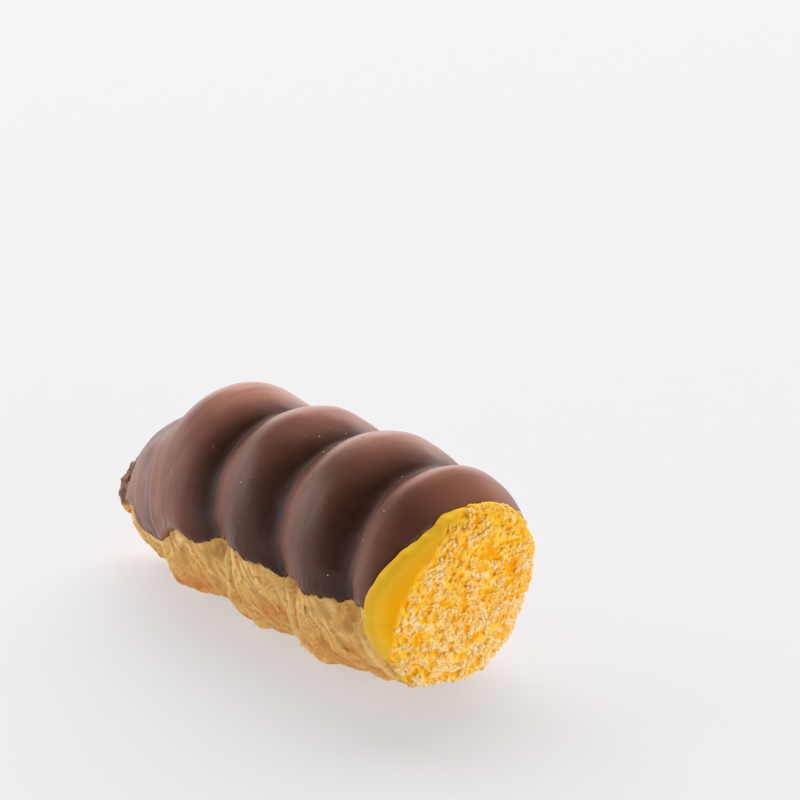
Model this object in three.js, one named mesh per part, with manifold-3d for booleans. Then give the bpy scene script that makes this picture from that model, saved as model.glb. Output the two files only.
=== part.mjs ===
// Cream horn: a strip of puff pastry wound into a horn, filled with custard to its mouth,
// coated with chocolate over its upper half and dipped in sponge crumbs at the filled end.
// It lies on its side along X with the mouth at +X. Millimetres, +Z up, origin on the surface
// that it rests on, below the middle of its outer box.
// A place on the horn is a station along the axis from the tail, an angle from the top
// towards -Y, and a radius.
import * as THREE from 'three';
import { mergeVertices } from 'three/addons/utils/BufferGeometryUtils.js';
import Module from 'manifold-3d';

// Shell
const SHELL_LENGTH = 115.8;
const TAIL_SIDE_RADIUS = 23.0;
const MOUTH_SIDE_RADIUS = 24.9;
const TALLNESS = 1.35;
const TALL_ANGLE = 5;
const TIP_RADIUS = 5.3;
const TIP_HOLLOW = 2.5;
const TIP_HOLLOW_SHARE = 0.6;
const TAIL_LENGTH = 37.6;
const TAIL_POWER = 1.9;
const MOUTH_LENGTH = 26.5;
const MOUTH_ROUNDING = 3.2;

// Outline of the rim, a circle that bulges at one side and is flattened at two others
const RIM_RADIUS = 18.3;
const RIM_BULGE = { height: 3.9, angle: 82, width: 36 };
const RIM_FLAT = { height: 1.8, angle: 45, width: 32 };
const RIM_FAR_FLAT = { height: 5.6, angle: -105, width: 52 };
const RIM_LEAN = 3.2;
const RIM_LEAN_ANGLE = -27;
const RIM_LEAN_REACH = 35;

// Wound strip: its pitch, its sway round the horn in turns, and its section where it is coated and bare
const PITCH = 25.05;
const TAIL_STRETCH = 0.142;
const FIRST_GROOVE = 50.2;
const SWAY = { turns: 0.084, angle: 148 };
const DOUBLE_SWAY = { turns: 0.024, angle: 35 };
const GROOVE_DEPTH = 5.35;
const GROOVE_SOFTNESS = 0.015;
const GROOVE_ARC_POWER = 0.75;
const GROOVE_WAVE_SHARE = 0.48;
const COATED_SKEW = 0.174;
const BARE_EDGE = 0.125;
const BARE_FALL = 0.41;
const TAIL_FADE = { start: 6, length: 22 };
const MOUTH_FADE = { share: 0.8, length: 10 };

// Lower half without chocolate, from where the flakes begin to where they are full
const BARE_START = 88;
const BARE_FULL = 128;
const FLAKES = [
  { height: 0.32, along: 0.9, around: 5, shift: 0.0 },
  { height: 0.26, along: 1.7, around: -7, shift: 1.0 },
  { height: 0.2, along: 0.55, around: 11, shift: 2.0 },
];

// Axis, its place in the outer box, and the floor that flattens the underside
const AXIS_HEIGHT = 22.6;
const AXIS_RISE = 0.01;
const TAIL_BEND = { down: 6.6, near: 2.9, length: 34 };
const BOX_MIDDLE = 61.5;
const BOX_SIDE = 0.1;
const FLOOR_SOFTNESS = 1.4;
const FLOOR_SINK = 0.5;

// Hollow and filling
const GAP = 0.3;
const BORE_RADIUS = 14.2;
const RIM_WALL = 4;
const BORE_START = 15;
const BORE_NOSE = 2;
const BORE_TAPER = 26;
const CAP_HEIGHT = 5.4;
const CAP_POWER = 2.6;
const CAP_OVERHANG = 0.2;

// Chocolate coat and its lower edge on the near and the far side, an angle with drops along the horn
const COAT_THICKNESS = 1.1;
const COAT_START = 4;
const NEAR_EDGE = {
  angle: 92,
  drops: [
    { height: 26, station: 27.5, width: 9.5 },
    { height: 7, station: 50.5, width: 4.5 },
    { height: -6, station: 62.5, width: 3 },
    { height: 7, station: 80, width: 4 },
    { height: -4.5, station: 113, width: 4 },
  ],
};
const FAR_EDGE = {
  angle: 94,
  drops: [
    { height: 22, station: 25, width: 10 },
    { height: 6, station: 45, width: 5 },
    { height: -5, station: 58, width: 4 },
    { height: 7, station: 72, width: 5 },
    { height: 5, station: 97, width: 6 },
  ],
};

// Larger crumbs on the mouth
const CRUMB_COUNT = 66;
const CRUMB_RADIUS = [0.75, 1.35];
const CRUMB_STRETCH = [0.75, 1.25];
const CRUMB_SINK = 0.35;
const CRUMB_SEED = 41;
const BARE_CUSTARD = { angle: 62, width: 62, reach: 0.74, elsewhere: 0.95 };

// Fineness of the surfaces
const COLUMNS = 36;
const SHELL_ROWS = 50;
const BORE_ROWS = 9;
const CAP_ROWS = 8;
const SECTOR_SIDES = 6;
const SECTOR_RADIUS = 40;
const OVERRUN = 8;
const WELD = 1e-4;

const TURN = 2 * Math.PI;
const radians = THREE.MathUtils.degToRad;
const clamp = THREE.MathUtils.clamp;
const lerp = THREE.MathUtils.lerp;
const wasm = await Module();
wasm.setup();

function smooth(value) {
  return THREE.MathUtils.smoothstep(value, 0, 1);
}

function hump(value, middle, width) {
  return Math.exp(-(((value - middle) / width) ** 2));
}

// Angle between -180 and 180 degrees
function wrapped(angle) {
  return THREE.MathUtils.euclideanModulo(THREE.MathUtils.radToDeg(angle) + 180, 360) - 180;
}

function humpAround(angle, { height, angle: middle, width }) {
  return height * hump(wrapped(angle - radians(middle)), 0, width);
}

function rimRadius(angle) {
  const added = humpAround(angle, RIM_BULGE);
  return RIM_RADIUS + added - humpAround(angle, RIM_FLAT) - humpAround(angle, RIM_FAR_FLAT);
}

// Radius over the crests of the strip: taller than wide, with a rounded nose at the tail and lip at the mouth
function crestRadius(station, angle) {
  const tall = TALLNESS * Math.cos(2 * (angle - radians(TALL_ANGLE)));
  const side = lerp(TAIL_SIDE_RADIUS, MOUTH_SIDE_RADIUS, station / SHELL_LENGTH) + tall;
  const nose = 1 - (1 - clamp(station / TAIL_LENGTH, 0, 1)) ** TAIL_POWER;
  const body = lerp(TIP_RADIUS, side, nose);
  const lip = clamp(1 - (SHELL_LENGTH - station) / MOUTH_LENGTH, 0, 1);
  return lerp(body, rimRadius(angle), lip ** MOUTH_ROUNDING);
}

// The rim leans, so stations near the mouth slide along the axis round the horn
function leaningStation(station, angle) {
  const share = smooth(1 - (SHELL_LENGTH - station) / RIM_LEAN_REACH);
  return station + RIM_LEAN * Math.cos(angle - radians(RIM_LEAN_ANGLE)) * share;
}

// Turns of the strip from its first groove, whole numbers lying in the grooves
function stripTurns(along, angle) {
  const turns = (along - FIRST_GROOVE) / PITCH;
  const sway = SWAY.turns * Math.cos(angle - radians(SWAY.angle));
  const doubleSway = DOUBLE_SWAY.turns * Math.cos(2 * (angle - radians(DOUBLE_SWAY.angle)));
  return turns + TAIL_STRETCH * Math.min(turns, 0) ** 2 - angle / TURN + sway + doubleSway;
}

// Height of the strip's section from 0 in a groove to 1 on its crest: coated, a mix of an arc and a wave,
// and bare, a step up at its tail side edge and a straight fall from there
function stripSection(fraction, bareness) {
  const across = fraction ** (1 - COATED_SKEW);
  const soft = Math.sqrt(GROOVE_SOFTNESS);
  const side = Math.sqrt((2 * across - 1) ** 2 + GROOVE_SOFTNESS) - soft;
  const full = Math.sqrt(1 + GROOVE_SOFTNESS) - soft;
  const arc = Math.max(1 - (side / full) ** 2, 0) ** GROOVE_ARC_POWER;
  const wave = (1 - Math.cos(TURN * across)) / 2;
  const bare = smooth(fraction / BARE_EDGE) * lerp(1, BARE_FALL, fraction);
  return lerp(lerp(arc, wave, GROOVE_WAVE_SHARE), bare, bareness);
}

function flakeRelief(along, angle) {
  const turnOf = (flake) => flake.along * along + flake.around * angle + flake.shift;
  return FLAKES.reduce((sum, flake) => sum + flake.height * Math.sin(turnOf(flake)), 0);
}

function pastryRadius(station, angle) {
  const along = leaningStation(station, angle);
  const turns = stripTurns(along, angle);
  const bareness = smooth((Math.abs(wrapped(angle)) - BARE_START) / (BARE_FULL - BARE_START));
  const tailFade = smooth((station - TAIL_FADE.start) / TAIL_FADE.length);
  const mouthFade = 1 - MOUTH_FADE.share * smooth(1 - (SHELL_LENGTH - station) / MOUTH_FADE.length);
  const groove = GROOVE_DEPTH * (1 - stripSection(turns - Math.floor(turns), bareness));
  const relief = flakeRelief(along, angle) * bareness * tailFade;
  return crestRadius(station, angle) - groove * tailFade * mouthFade + relief;
}

// Height and side of the axis, which bends down and to the near side at the tail
function axisAt(along) {
  const bend = 1 - smooth(along / TAIL_BEND.length);
  const height = AXIS_HEIGHT + AXIS_RISE * (along - BOX_MIDDLE) - TAIL_BEND.down * bend;
  return { height, side: BOX_SIDE - TAIL_BEND.near * bend };
}

// Point at a distance along the axis, an angle and a radius, pressed flat where it meets the floor
function pointAt(along, angle, radius) {
  const axis = axisAt(along);
  const height = axis.height + radius * Math.cos(angle);
  const side = axis.side - radius * Math.sin(angle);
  const pressed = (height + Math.hypot(height, FLOOR_SOFTNESS)) / 2 - FLOOR_SINK;
  return new THREE.Vector3(along - BOX_MIDDLE, side, Math.max(pressed, 0));
}

function ring(place) {
  return Array.from({ length: COLUMNS }, (_, column) => place((column / COLUMNS) * TURN));
}

// Closed skin over rings of points, with one point closing each end
function skin(rings, firstPole, lastPole) {
  const count = rings[0].length;
  const points = [firstPole, ...rings.flat(), lastPole];
  const last = points.length - 1;
  const index = [];
  for (let column = 0; column < count; column++) {
    const next = (column + 1) % count;
    index.push(0, 1 + next, 1 + column);
    for (let row = 0; row < rings.length - 1; row++) {
      const here = 1 + row * count;
      const ahead = here + count;
      index.push(here + column, here + next, ahead + column);
      index.push(here + next, ahead + next, ahead + column);
    }
    const end = last - count;
    index.push(end + column, end + next, last);
  }
  const geometry = new THREE.BufferGeometry().setFromPoints(points);
  geometry.setIndex(index);
  return geometry;
}

function toSolid(geometry) {
  const plain = geometry.clone();
  plain.deleteAttribute('normal');
  plain.deleteAttribute('uv');
  const merged = mergeVertices(plain, WELD);
  const vertProperties = new Float32Array(merged.attributes.position.array);
  const triVerts = new Uint32Array(merged.index.array);
  return new wasm.Manifold(new wasm.Mesh({ numProp: 3, vertProperties, triVerts }));
}

function toGeometry(solid) {
  const { vertProperties, triVerts } = solid.getMesh();
  const geometry = new THREE.BufferGeometry();
  geometry.setAttribute('position', new THREE.BufferAttribute(vertProperties, 3));
  geometry.setIndex(new THREE.BufferAttribute(triVerts, 1));
  return geometry;
}

function stations(first, last, rows) {
  return Array.from({ length: rows }, (_, row) => lerp(first, last, row / (rows - 1)));
}

const shellStations = stations(0, SHELL_LENGTH, SHELL_ROWS);

// Ring of the wound surface at a station, swollen outwards by an offset
function shellRing(station, offset) {
  const radius = (angle) => pastryRadius(station, angle) + offset;
  return ring((angle) => pointAt(leaningStation(station, angle), angle, radius(angle)));
}

// Radius of the hollow, a rounded nose that widens to a cylinder and keeps a wall at the flattened rim
function boreRadius(station, angle) {
  const widest = Math.min(BORE_RADIUS, rimRadius(angle) - RIM_WALL);
  return widest * (1 - (1 - clamp((station - BORE_START) / BORE_TAPER, 0, 1)) ** 2);
}

function boreRing(station, gap) {
  return ring((angle) => pointAt(leaningStation(station, angle), angle, boreRadius(station, angle) - gap));
}

const boreStations = stations(BORE_START + BORE_NOSE, SHELL_LENGTH, BORE_ROWS);

// The wound pastry with its hollow, open at the mouth and dished at the tail
function pastryShell() {
  const dish = ring((angle) => pointAt(TIP_HOLLOW / 2, angle, TIP_RADIUS * TIP_HOLLOW_SHARE));
  const outside = shellStations.map((station) => shellRing(station, 0));
  const inside = boreStations.toReversed().map((station) => boreRing(station, 0));
  return skin([dish, ...outside, ...inside], pointAt(TIP_HOLLOW, 0, 0), pointAt(BORE_START, 0, 0));
}

function edgeAngle(station, edge) {
  const dropOf = (drop) => drop.height * hump(station, drop.station, drop.width);
  return radians(edge.drops.reduce((sum, drop) => sum + dropOf(drop), edge.angle));
}

function middleOf(points) {
  const sum = points.reduce((total, point) => total.add(point), new THREE.Vector3());
  return sum.divideScalar(points.length);
}

// Wedge below the lower edges of the coat, from the axis outwards
function belowCoat() {
  const rings = stations(-OVERRUN, SHELL_LENGTH + OVERRUN, SHELL_ROWS).map((station) => {
    const near = edgeAngle(station, NEAR_EDGE);
    const far = TURN - edgeAngle(station, FAR_EDGE);
    const axis = axisAt(station);
    const along = station - BOX_MIDDLE;
    const arc = Array.from({ length: SECTOR_SIDES + 1 }, (_, step) => {
      const angle = lerp(near, far, step / SECTOR_SIDES);
      const side = axis.side - SECTOR_RADIUS * Math.sin(angle);
      return new THREE.Vector3(along, side, axis.height + SECTOR_RADIUS * Math.cos(angle));
    });
    return [new THREE.Vector3(along, axis.side, axis.height), ...arc];
  });
  return skin(rings, middleOf(rings[0]), middleOf(rings.at(-1)));
}

// Chocolate over the upper half: a shell between two offsets of the pastry, cut along its lower edges
function chocolateCoat() {
  const coated = shellStations.filter((station) => station >= COAT_START);
  const outer = coated.map((station) => shellRing(station, GAP + COAT_THICKNESS));
  const inner = shellStations.map((station) => shellRing(station, GAP));
  const shifted = (points, shift) => points.map((point) => point.clone().setX(point.x + shift));
  const innerRings = [shifted(inner[0], -OVERRUN), ...inner, shifted(inner.at(-1), OVERRUN)];
  const outerSolid = toSolid(skin(outer, pointAt(coated[0], 0, 0), pointAt(SHELL_LENGTH, 0, 0)));
  const innerPoles = [pointAt(-OVERRUN, 0, 0), pointAt(SHELL_LENGTH + OVERRUN, 0, 0)];
  const innerSolid = toSolid(skin(innerRings, ...innerPoles));
  return toGeometry(outerSolid.subtract(innerSolid).subtract(toSolid(belowCoat())));
}

// Point on the domed face of the filling, where share runs from 0 at the rim to 1 in the middle
function capPoint(share, angle) {
  const turn = (share * Math.PI) / 2;
  const forward = GAP + CAP_HEIGHT * Math.sin(turn) ** (2 / CAP_POWER);
  const edge = rimRadius(angle) + GAP + COAT_THICKNESS + CAP_OVERHANG;
  const base = lerp(leaningStation(SHELL_LENGTH, angle), SHELL_LENGTH, share);
  return pointAt(base + forward, angle, edge * Math.cos(turn) ** (2 / CAP_POWER));
}

// Point where the hollow's filling meets the underside of its face
function capNeck(angle) {
  const along = leaningStation(SHELL_LENGTH, angle) + GAP;
  return pointAt(along, angle, boreRadius(SHELL_LENGTH, angle) - GAP);
}

// Seeded random numbers between 0 and 1
function seededRandom(seed) {
  let state = seed;
  return () => {
    state = (state + 0x6d2b79f5) | 0;
    let mixed = Math.imul(state ^ (state >>> 15), 1 | state);
    mixed = (mixed + Math.imul(mixed ^ (mixed >>> 7), 61 | mixed)) ^ mixed;
    return ((mixed ^ (mixed >>> 14)) >>> 0) / 2 ** 32;
  };
}

// Crumbs spread evenly over the face, apart from the bare custard on its near upper side
function crumbGeometries() {
  const random = seededRandom(CRUMB_SEED);
  const goldenAngle = Math.PI * (3 - Math.sqrt(5));
  const crumbs = [];
  for (let order = 0; order < CRUMB_COUNT; order++) {
    const angle = order * goldenAngle;
    const bare = hump(wrapped(angle - radians(BARE_CUSTARD.angle)), 0, BARE_CUSTARD.width);
    const reach = lerp(BARE_CUSTARD.elsewhere, BARE_CUSTARD.reach, bare);
    const outward = Math.sqrt((order + 0.5) / CRUMB_COUNT) * reach;
    const share = (2 / Math.PI) * Math.acos(outward ** (CAP_POWER / 2));
    const radius = lerp(...CRUMB_RADIUS, random());
    const centre = capPoint(share, angle);
    const inside = pointAt(SHELL_LENGTH, 0, 0);
    centre.addScaledVector(inside.sub(centre).normalize(), radius * CRUMB_SINK);
    const crumb = new THREE.IcosahedronGeometry(radius, 0);
    crumb.scale(lerp(...CRUMB_STRETCH, random()), lerp(...CRUMB_STRETCH, random()), 1);
    crumb.rotateX(random() * TURN);
    crumb.rotateZ(random() * TURN);
    crumb.translate(centre.x, centre.y, centre.z);
    crumbs.push(crumb);
  }
  return crumbs;
}

// Custard through the whole hollow, spread over the rim in a dome with the crumbs fused to it
function custardFilling() {
  const plug = boreStations.map((station) => boreRing(station, GAP));
  const neck = ring(capNeck);
  const dome = Array.from({ length: CAP_ROWS }, (_, row) => ring((angle) => capPoint(row / CAP_ROWS, angle)));
  const front = pointAt(SHELL_LENGTH + GAP + CAP_HEIGHT, 0, 0);
  const core = toSolid(skin([...plug, neck, ...dome], pointAt(BORE_START + GAP, 0, 0), front));
  return toGeometry(crumbGeometries().reduce((solid, crumb) => solid.add(toSolid(crumb)), core));
}

function node(name, geometry, material) {
  const mesh = new THREE.Mesh(geometry, new THREE.MeshStandardMaterial(material));
  mesh.name = name;
  return mesh;
}

const horn = new THREE.Group();
horn.add(node('pastry_shell', pastryShell(), { color: 0xe0bd7a, roughness: 0.7, metalness: 0 }));
horn.add(node('chocolate_coat', chocolateCoat(), { color: 0x4a2f28, roughness: 0.35, metalness: 0 }));
horn.add(node('custard_filling', custardFilling(), { color: 0xf2bf3a, roughness: 0.55, metalness: 0 }));

export default horn;
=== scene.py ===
"""Cream horn: a wound puff pastry horn filled with custard, coated with chocolate and dipped in crumbs.

The surfaces are worked out with numpy round the horn's axis. A place on the horn is a station, the distance
along the axis from the tail, an angle from the top towards the near side, and a radius.
"""

import math
from collections import namedtuple

import bpy
import numpy as np
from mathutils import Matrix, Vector


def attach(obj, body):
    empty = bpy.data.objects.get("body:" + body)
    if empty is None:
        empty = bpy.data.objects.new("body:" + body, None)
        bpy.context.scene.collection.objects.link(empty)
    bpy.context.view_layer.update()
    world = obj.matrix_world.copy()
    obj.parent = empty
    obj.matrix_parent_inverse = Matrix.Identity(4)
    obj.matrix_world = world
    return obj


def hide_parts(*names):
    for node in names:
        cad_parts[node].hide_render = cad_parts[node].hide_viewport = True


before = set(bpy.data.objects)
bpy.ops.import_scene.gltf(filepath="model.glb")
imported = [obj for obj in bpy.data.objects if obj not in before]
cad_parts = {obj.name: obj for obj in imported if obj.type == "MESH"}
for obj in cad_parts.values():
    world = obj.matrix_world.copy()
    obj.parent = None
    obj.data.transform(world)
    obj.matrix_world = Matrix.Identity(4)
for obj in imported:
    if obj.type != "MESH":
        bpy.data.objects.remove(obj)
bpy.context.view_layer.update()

bl_info = {
    "name": "Cream Horn",
    "version": (1, 0, 0),
    "blender": (4, 5, 0),
    "location": "View3D > Sidebar > Cream Horn",
    "description": "Builds a chocolate coated cream horn piece by piece",
    "category": "Add Mesh",
}

MM = 0.001
TURN = 2 * math.pi
BODY = "root"

# A bell shaped change: how much, where, and over what width
Bell = namedtuple("Bell", "height middle width")
# Noise over two coordinates: the size of its features along each, its slice, octaves and seed
Grain = namedtuple("Grain", "first second slice octaves seed")
# Noise round the horn: the radius of the circle that it is read on, its slice, octaves and seed
Ring = namedtuple("Ring", "radius slice octaves seed")
# Noise in space: the size of its features, its octaves and seed
Cloud = namedtuple("Cloud", "size octaves seed")
# A place on the bare strip: station, middle in degrees, length along and turn in degrees
Patch = namedtuple("Patch", "station middle length turn")
# Height of the bare strip, and its colour marks from 0 to 1. The pale mark is partly a painted highlight on
# raised edges, the window mark also holds painted shade under flake edges, and the pit mark is painted shade
Relief = namedtuple("Relief", "height pale window toast smear pit")

# In the values below, two limits in a pair are where an eased step begins and where it is full

# Shell, apart from the sizes in HornForm
TALLNESS = 1.35 * MM
TALL_ANGLE = math.radians(5)
TAIL_POWER = 1.9
TAIL_HOLLOW = Bell(2.0 * MM, 17 * MM, 14 * MM)
TAIL_HOLLOW_ROUND = Bell(1, 68, 42)
MOUTH_ROUNDING = 3.2
DISH_DEPTH = 2.5 * MM
RIM_BULGE = Bell(3.9 * MM, 82, 36)
RIM_FLAT = Bell(1.8 * MM, 45, 32)
RIM_FAR_FLAT = Bell(5.6 * MM, -105, 52)
RIM_LEAN = 3.2 * MM
RIM_LEAN_ANGLE = math.radians(-27)
RIM_LEAN_REACH = 35 * MM

# Wound strip, with limits round the horn in degrees
TAIL_STRETCH = 0.142
SWAY = 0.084
SWAY_ANGLE = math.radians(148)
DOUBLE_SWAY = 0.024
DOUBLE_SWAY_ANGLE = math.radians(35)
GROOVE_SOFTNESS = 0.015
GROOVE_ARC_POWER = 0.75
GROOVE_WAVE_SHARE = 0.48
FLANK_WAVE_SHARE = 0.5
FLANK_CREST = 0.6
FLANK_DEGREES = (20, 55)
FLANK_FILL = 0.45
TAIL_FILL = 0.85
TAIL_FILL_END = 44 * MM
TAIL_FILL_LENGTH = 16 * MM
FILL_FADE_START = 74
FILL_FADE_WIDTH = 26
COATED_SKEW = 0.174
BARE_EDGE = 0.075
BARE_FALL = 0.41
TAIL_FADE_START = 6 * MM
TAIL_FADE_LENGTH = 22 * MM
MOUTH_FADE_SHARE = 0.8
MOUTH_FADE_LENGTH = 10 * MM
BARE_DEGREES = (88, 128)

# Axis and floor
AXIS_RISE = 0.01
TAIL_DOWN = 6.6 * MM
TAIL_NEAR = 2.9 * MM
TAIL_BEND_LENGTH = 34 * MM
BOX_MIDDLE = 61.5 * MM
BOX_SIDE = 0.1 * MM
FLOOR_SOFTNESS = 1.4 * MM
FLOOR_SINK = 0.5 * MM
FLOOR_GAP = 0.05 * MM

# Hollow and face of the filling
BORE_NOSE = 2 * MM
RIM_WALL = 4 * MM
FACE_POWER = 2.6
FACE_CENTRE_DEPTH = 14 * MM
FACE_LUMP = Bell(1.5 * MM, 146, 13)
FACE_WAVES = Ring(1.8, 0.1, 3, 97)
FACE_WAVE_HEIGHT = 0.45 * MM
FACE_FRILL = Ring(7.0, 0.6, 2, 105)
FACE_FRILL_HEIGHT = 0.4 * MM
LIP_TONGUES = Ring(2.4, 0.9, 3, 109)
LIP_BACK = 1.1 * MM
LIP_SHARES = (0.16, 0.0)
BARE_MARGIN = Bell(0.33, 70, 54)
CRUMB_REACH = 1.12
CRUMB_FADE = 0.05
CRUMB_RAGS = Ring(2.6, 0.7, 3, 101)
CRUMB_RAG_HEIGHT = 0.05

# Crumb layer on the face
BED_LUMPS = Cloud(3.0 * MM, 2, 103)
BED_HOLES = Cloud(1.5 * MM, 2, 105)
BED_WIDE_HOLES = Cloud(2.3 * MM, 1, 112)
BED_GRAINS = Cloud(0.8 * MM, 2, 107)
BED_HOLE_LIMITS = (-0.05, -0.45)
BED_WIDE_HOLE_LIMITS = (0.36, 0.52)
BED_LEVEL = 0.72
BED_STEEPNESS = 4.5
BED_HEIGHT = 0.85 * MM
BED_SINK = 0.75 * MM
CRUST_PATCHES = Cloud(4.0 * MM, 2, 115)
CRUST_LIMITS = (-0.22, 0.33)
CRUST_DOWNWARD = 0.4

# Lower edge of the coat, an angle in degrees with drops along the horn and two ragged noises
NEAR_EDGE = 92
NEAR_DROPS = (
    Bell(26, 27.5 * MM, 9.5 * MM),
    Bell(7, 50.5 * MM, 4.5 * MM),
    Bell(-6, 62.5 * MM, 3 * MM),
    Bell(7, 80 * MM, 4 * MM),
    Bell(-4.5, 113 * MM, 4 * MM),
)
FAR_EDGE = 94
FAR_DROPS = (
    Bell(22, 25 * MM, 10 * MM),
    Bell(6, 45 * MM, 5 * MM),
    Bell(-5, 58 * MM, 4 * MM),
    Bell(7, 72 * MM, 5 * MM),
    Bell(5, 97 * MM, 6 * MM),
)
EDGE_RAGS = Grain(5.2 * MM, 1 / 3.7, 0.5, 2, 71)
EDGE_RAG_DEGREES = 2.6
EDGE_FRINGE = Grain(1.3 * MM, 1 / 14.8, 2.0, 3, 72)
EDGE_FRINGE_DEGREES = 2.4

# Flakes of the bare strip, with noise across the strip and along it
FLAKE_DRIFT = Grain(5.0 * MM, 6.0 * MM, 0.8, 1, 14)
FLAKE_DRIFT_SHARE = 0.4
FLAKE_LAYERS = Grain(3.4 * MM, 15.0 * MM, 0.3, 2, 11)
FLAKE_MIDDLE = 2.5
FLAKE_SPAN = 3.0
FLAKE_RISER = 0.16
FLAKE_STREAKS = Grain(1.4 * MM, 11.0 * MM, 0.5, 2, 16)
LUMPS = Grain(6.5 * MM, 6.0 * MM, 0.1, 2, 23)
GRIT = Grain(1.3 * MM, 1.5 * MM, 0.7, 2, 27)
STRIP_LIP = Bell(1.0, 0.07, 0.03)
STRIP_LIP_WAVES = Grain(5.0 * MM, 1.0, 0.6, 2, 31)
STRIP_LIP_SLICE = 0.2
THIN_PLACES = Grain(5.5 * MM, 8.5 * MM, 0.9, 2, 43)
BROWNING = Grain(7.0 * MM, 6.0 * MM, 0.4, 3, 59)
UNDERSIDE_DEGREES = (112, 146)
BARE_DISTANCES = (-1.2 * MM, 1.0 * MM)
SEAM_TAIL_SIDE = (0.0, 0.05)
SEAM_MOUTH_SIDE = (1.0, 0.93)
FREE_EDGE = (0.45, 0.1)
COVERED_EDGE = (0.6, 0.9)
BROWNING_LIMITS = (0.3, 0.6)
THIN_LIMITS = (0.02, 0.22)
WINDOW_TAIL_SIDE = (0.16, 0.28)
WINDOW_MOUTH_SIDE = (0.8, 0.6)
WINDOW_DEPTH = 0.25 * MM
WINDOW_PATCHES = (
    Patch(53 * MM, 106, 4.5 * MM, 6),
    Patch(98 * MM, 102, 3.5 * MM, 6),
    Patch(104 * MM, 110, 3 * MM, 5),
    Patch(45 * MM, -108, 5 * MM, 6),
    Patch(72 * MM, -104, 4 * MM, 6),
    Patch(93 * MM, -111, 4 * MM, 6),
)
BROWN_PATCHES = (
    Patch(42 * MM, 136, 7 * MM, 12),
    Patch(74 * MM, 127, 8 * MM, 12),
    Patch(95 * MM, 140, 8 * MM, 11),
    Patch(36 * MM, -134, 7 * MM, 12),
    Patch(63 * MM, -128, 8 * MM, 12),
    Patch(88 * MM, -138, 8 * MM, 12),
)

# Ragged end of the tail
TAIL_FLARE = Bell(3.2 * MM, 0, 2.6 * MM)
TAIL_FLARE_ROUND = Bell(1, 85, 60)
TAIL_FLARE_REST = 0.35
TAIL_RAGS = Ring(2.2, 0.0, 3, 61)
TAIL_RAG_LENGTH = 2.0 * MM
TAIL_LIP = Bell(1.0 * MM, 1.2 * MM, 1.5 * MM)
TAIL_PITS = Bell(1.0, 3.9 * MM, 1.2 * MM)
TAIL_PIT_DEPTH = 1.2 * MM
TAIL_PIT_LIMITS = (-0.1, 0.15)
TAIL_PIT_DEGREES = (110, 94)
TAIL_BARE_STATIONS = (5.5 * MM, 4.0 * MM)
SMEAR_STATIONS = (9.5 * MM, 6.5 * MM)
SMEAR_DEGREES = (116, 104)

# Coat over the strip, with noise over the strip's turns or the station, and the angle
COAT_REACH = 0.085
SECTION_SAMPLES = 11
COAT_STEP_WAVES = Grain(1 / 6.3, 1 / 0.56, 0.28, 1, 134)
COAT_FOLDS = Grain(1 / 4.5, 1 / 0.4, 0.2, 1, 131)
COAT_FINE_FOLDS = Grain(1 / 11.7, 1 / 1.04, 0.52, 1, 140)
COAT_GLINT = Bell(0.5, 0.13, 0.018)
COAT_GLINT_WAVES = Grain(1 / 9.0, 1 / 0.8, 0.4, 1, 137)
COAT_RIPPLES = Grain(1.7 * MM, 1 / 0.8, 0.2, 2, 83)
COAT_SLOW_WAVES = Grain(9.0 * MM, 1 / 2.2, 0.7, 2, 88)
COAT_BEAD = Bell(0.2 * MM, 1.8 * MM, 1.2 * MM)
COAT_LEAST = 0.3 * MM
COAT_TAIL_RAGS = Ring(3.0, 0.4, 3, 66)
COAT_TAIL_RAG_HEIGHT = 1.6 * MM
COAT_TAIL_POWER = 6
COAT_TAIL_STATIONS = (36 * MM, 22 * MM)
COAT_STEP_RISE = (0.11, 0.15)
COAT_STEP_FALL = (0.6, 0.18)
TAIL_DRAW_BACK = Bell(3.0 * MM, 66, 55)

# Painted light and shade on the coat: lighter on top, towards the tail and on the slopes that face the tail,
# darker on the slopes that face the mouth and in the grooves
LIGHT_TURN = 0.3
LIGHT_TOP = (0.6, 1.0)
LIGHT_STATIONS = (60 * MM, 44 * MM)
LIGHT_SLOPE = (0.5, 0.2)
GROOVE_END = (0.0, 0.14)
SHADE_SLOPE = (0.58, 0.95)
SHADE_STATIONS = (24 * MM, 34 * MM)
TAIL_END_STATIONS = (42 * MM, 26 * MM)
TAIL_END_DEGREES = (70, 25)
FAR_SIDE_DEGREES = (-22, -60)


def length(name, description, default):
    """Property for a size in metres."""
    return bpy.props.FloatProperty(
        name=name, description=description, default=default, unit="LENGTH", precision=5
    )


def share_of_one(name, description, default):
    """Property for a share from 0 to 1."""
    return bpy.props.FloatProperty(
        name=name, description=description, default=default, min=0, max=1, subtype="FACTOR"
    )


def angle_of(name, description, degrees):
    """Property for an angle, given in degrees."""
    return bpy.props.FloatProperty(
        name=name, description=description, default=math.radians(degrees), subtype="ANGLE"
    )


def tint(name, description, default):
    """Property for a linear colour."""
    return bpy.props.FloatVectorProperty(
        name=name, description=description, default=default, size=3, min=0, max=1, subtype="COLOR"
    )


def count_of(name, description, default):
    """Property for a number of pieces."""
    return bpy.props.IntProperty(name=name, description=description, default=default, min=1)


def amount_of(name, description, default):
    """Property for a strength or a number of pixels."""
    return bpy.props.FloatProperty(name=name, description=description, default=default, min=0)


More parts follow.
